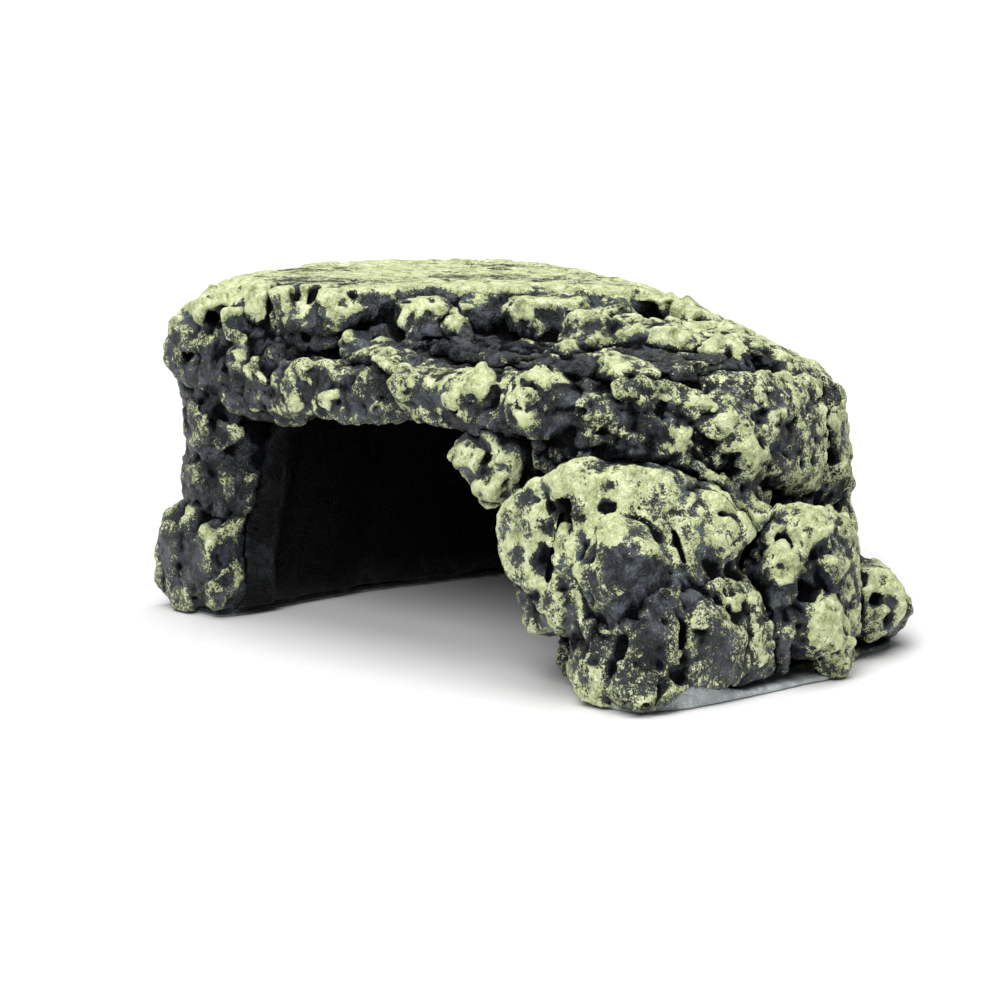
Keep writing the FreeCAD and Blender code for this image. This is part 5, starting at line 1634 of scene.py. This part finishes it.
# ---------------------------------------------------------------- materials
def rock_material(name, tint=1.0, shift=0.0, gritty=1.0):
    mat = bpy.data.materials.new(name)
    mat.use_nodes = True
    nt = mat.node_tree
    N, L = nt.nodes, nt.links
    bsdf = N["Principled BSDF"]
    bsdf.inputs["Specular IOR Level"].default_value = 0.5
    geo = N.new("ShaderNodeTexCoord")

    def attr(label):
        a = N.new("ShaderNodeAttribute")
        a.attribute_name = label
        return a.outputs["Fac"]

    def tex(scale, detail, rough=0.6, dist=0.0, dx=0.0):
        t = N.new("ShaderNodeTexNoise")
        t.inputs["Scale"].default_value = scale
        t.inputs["Detail"].default_value = detail
        t.inputs["Roughness"].default_value = rough
        t.inputs["Distortion"].default_value = dist
        L.new(geo.outputs["Object"], t.inputs["Vector"])
        return t.outputs["Fac"]

    def mth(op, a, b=None, c=None, clamp=False):
        m = N.new("ShaderNodeMath")
        m.operation = op
        m.use_clamp = clamp
        for i, v in enumerate((a, b, c)):
            if v is None:
                continue
            if isinstance(v, (int, float)):
                m.inputs[i].default_value = v
            else:
                L.new(v, m.inputs[i])
        return m.outputs[0]

    def ramp(src, stops):
        r = N.new("ShaderNodeValToRGB")
        while len(r.color_ramp.elements) < len(stops):
            r.color_ramp.elements.new(0.5)
        for e, (pos, col) in zip(r.color_ramp.elements, stops):
            e.position = pos
            e.color = (*col, 1)
        L.new(src, r.inputs["Fac"])
        return r.outputs["Color"]

    def mix(fac, a, b):
        m = N.new("ShaderNodeMix")
        m.data_type = "RGBA"
        L.new(fac, m.inputs[0])
        L.new(a, m.inputs[6])
        L.new(b, m.inputs[7])
        return m.outputs[2]

    brushed, recess_shade, inside = attr("brushed"), attr("recess_shade"), attr("inside")
    coarse = tex(420, 3, 0.6, 0.4)
    grit = tex(1500, 4, 0.75, 0.3)
    speck = tex(3600, 2, 0.7)
    def line(scale, width, dist):
        return mth("SUBTRACT", 1.0, mth("MULTIPLY", mth("ABSOLUTE", mth("SUBTRACT", tex(scale, 2, 0.5, dist), 0.5)),
                                        width, clamp=True), clamp=True)

    # where paint sits: the brushed attribute, thin crests, broken up by grit
    crests = mth("MULTIPLY_ADD", line(1500, 16.0, 0.8), 0.6, line(620, 20.0, 0.9))
    m = mth("MULTIPLY_ADD", crests, 0.13, brushed)
    m = mth("MULTIPLY_ADD", mth("SUBTRACT", grit, 0.5), 0.95 * gritty, m)
    m = mth("MULTIPLY_ADD", mth("SUBTRACT", coarse, 0.5), 0.5, m)
    m = mth("MULTIPLY_ADD", mth("SUBTRACT", speck, 0.5), 0.75 * gritty, m)

    def step(lo, hi):
        r = N.new("ShaderNodeMapRange")
        r.interpolation_type = "SMOOTHSTEP"
        L.new(m, r.inputs["Value"])
        r.inputs["From Min"].default_value = lo
        r.inputs["From Max"].default_value = hi
        return r.outputs["Result"]

    wash, mask = step(0.38, 0.60), step(0.52, 0.64)
    slate = ramp(tex(300, 5, 0.7, 0.6), [
        (0.40, (0.002 * tint, 0.003 * tint, 0.004 * tint)),
        (0.50, (0.010 * tint, 0.013 * tint, 0.018 * tint)),
        (0.63, (0.070 * tint, 0.086 * tint, 0.104 * tint))])
    # painted shade in recesses and crevices: the slate colour is multiplied towards black
    dark = N.new("ShaderNodeMix")
    dark.data_type = "RGBA"
    dark.blend_type = "MULTIPLY"
    L.new(recess_shade, dark.inputs[0])
    L.new(slate, dark.inputs[6])
    dark.inputs[7].default_value = (0.05, 0.055, 0.07, 1)
    # painted shade inside the cave: the colour is multiplied nearly to black
    cave = N.new("ShaderNodeMix")
    cave.data_type = "RGBA"
    cave.blend_type = "MULTIPLY"
    L.new(inside, cave.inputs[0])
    L.new(dark.outputs[2], cave.inputs[6])
    cave.inputs[7].default_value = (0.035, 0.035, 0.04, 1)
    L.new(mth("MULTIPLY_ADD", mth("MAXIMUM", inside, recess_shade), -0.42, 0.50), bsdf.inputs["Specular IOR Level"])
    green = ramp(tex(520, 5, 0.7, 0.5), [
        (0.33, (0.24 + shift, 0.28 + shift, 0.12)),
        (0.48, (0.56 + shift, 0.61 + shift, 0.32)),
        (0.65, (0.80 + shift, 0.85 + shift, 0.54))])
    thin = ramp(coarse, [(0.35, (0.045, 0.058, 0.040)), (0.65, (0.150, 0.175, 0.095))])
    col = mix(mask, mix(mth("MULTIPLY", wash, 0.8), cave.outputs[2], thin), green)
    L.new(col, bsdf.inputs["Base Color"])
    rough = mth("MULTIPLY_ADD", mask, 0.42, mth("MULTIPLY_ADD", grit, 0.35, 0.16))
    L.new(rough, bsdf.inputs["Roughness"])
    bump = N.new("ShaderNodeBump")
    bump.inputs["Strength"].default_value = 0.8
    bump.inputs["Distance"].default_value = 0.00042
    hgt = mth("MULTIPLY_ADD", mask, 0.35, mth("MULTIPLY_ADD", grit, 1.0, mth("MULTIPLY", speck, 0.5)))
    hgt = mth("MULTIPLY_ADD", crests, 0.45, hgt)
    hgt = mth("MULTIPLY_ADD", coarse, 0.7, hgt)
    L.new(hgt, bump.inputs["Height"])
    L.new(bump.outputs["Normal"], bsdf.inputs["Normal"])
    return mat


def rim_material():
    mat = rock_material("bare_cast_resin")
    nt = mat.node_tree
    N, L = nt.nodes, nt.links
    bsdf = N["Principled BSDF"]
    old = bsdf.inputs["Base Color"].links[0].from_socket
    geo = N.new("ShaderNodeTexCoord")
    t = N.new("ShaderNodeTexNoise")
    t.inputs["Scale"].default_value = 500
    t.inputs["Detail"].default_value = 4
    L.new(geo.outputs["Object"], t.inputs["Vector"])
    r = N.new("ShaderNodeValToRGB")
    r.color_ramp.elements[0].position = 0.3
    r.color_ramp.elements[0].color = (0.42, 0.47, 0.48, 1)
    r.color_ramp.elements[1].position = 0.7
    r.color_ramp.elements[1].color = (0.70, 0.74, 0.74, 1)
    L.new(t.outputs["Fac"], r.inputs["Fac"])
    a = N.new("ShaderNodeAttribute")
    a.attribute_name = "bare"
    m = N.new("ShaderNodeMix")
    m.data_type = "RGBA"
    L.new(a.outputs["Fac"], m.inputs[0])
    L.new(old, m.inputs[6])
    L.new(r.outputs["Color"], m.inputs[7])
    L.new(m.outputs[2], bsdf.inputs["Base Color"])
    return mat


ROCK_MAT = rock_material("brushed_slate_resin")
SHELL_MAT = rock_material("dark_slate_resin", 0.75)
SPECK_MAT = rock_material("speckled_slate_resin", 1.0, 0.0, 1.9)
BOULDER_MAT = rock_material("stippled_slate_resin", 1.1, 0.0, 1.35)
RIM_MAT = rim_material()
PIECES = {}
for name in ORDER:
    mat = {"base_rim": RIM_MAT, "cave_shell": SHELL_MAT, "strata_block": SPECK_MAT,
           "right_shoulder_rock": SPECK_MAT, "front_foot_rock": SPECK_MAT, "front_boulder": BOULDER_MAT,
           "side_rock": BOULDER_MAT}.get(name, ROCK_MAT)
    PIECES[name] = build(name, mat)

me = PIECES["base_rim"].data
co = np.empty(len(me.vertices) * 3, np.float32)
me.vertices.foreach_get("co", co)
co = co.reshape(-1, 3) * 1000
bare = np.clip((co[:, 0] - 44) / 3, 0, 1) * np.clip((-4 - co[:, 1]) / 8, 0, 1)
bare = np.maximum(bare, (co[:, 2] < 0.25).astype(np.float32))
at = me.attributes.new("bare", "FLOAT", "POINT")
at.data.foreach_set("value", bare.astype(np.float32))

# -------------------------------------------------------------- floor, light
scene = bpy.context.scene
scene.view_settings.view_transform = "Standard"
bpy.ops.mesh.primitive_plane_add(size=6, location=(0, 0, -0.0001))
floor = bpy.context.object
floor.name = "studio_floor"
fm = bpy.data.materials.new("studio_white")
fm.use_nodes = True
fm.node_tree.nodes["Principled BSDF"].inputs["Base Color"].default_value = (0.9, 0.9, 0.9, 1)
fm.node_tree.nodes["Principled BSDF"].inputs["Roughness"].default_value = 0.35
floor.data.materials.append(fm)

world = bpy.data.worlds.new("studio")
scene.world = world
world.use_nodes = True
world.node_tree.nodes["Background"].inputs["Color"].default_value = (0.96, 0.98, 1.0, 1)
world.node_tree.nodes["Background"].inputs["Strength"].default_value = 0.16


def soft_light(name, azimuth, elevation, spread, strength):
    """A broad overhead light: azimuth measured like the views, 0 looks along +Y."""
    d = bpy.data.lights.new(name, "SUN")
    d.angle = math.radians(spread)
    d.energy = strength
    o = bpy.data.objects.new(name, d)
    a, e = math.radians(azimuth), math.radians(elevation)
    src = Vector((math.sin(a) * math.cos(e), -math.cos(a) * math.cos(e), math.sin(e)))
    o.rotation_euler = src.to_track_quat("Z", "Y").to_euler()
    scene.collection.objects.link(o)
    return o


soft_light("overhead", 180, 86, 60, 3.2)
soft_light("front", 28, 40, 34, 2.35)

az, el, dist = math.radians(49.5), math.radians(9.3), 0.650
back = Vector((math.sin(az) * math.cos(el), -math.cos(az) * math.cos(el), math.sin(el)))
cam_data = bpy.data.cameras.new("camera")
cam_data.lens = 170.82
cam_data.sensor_width = 36
cam_data.clip_start = 0.01
cam = bpy.data.objects.new("camera", cam_data)
cam.location = Vector((0.0218, -0.046, 0.025)) + back * dist
cam.rotation_euler = (-back).to_track_quat("-Z", "Y").to_euler()
scene.collection.objects.link(cam)
scene.camera = cam
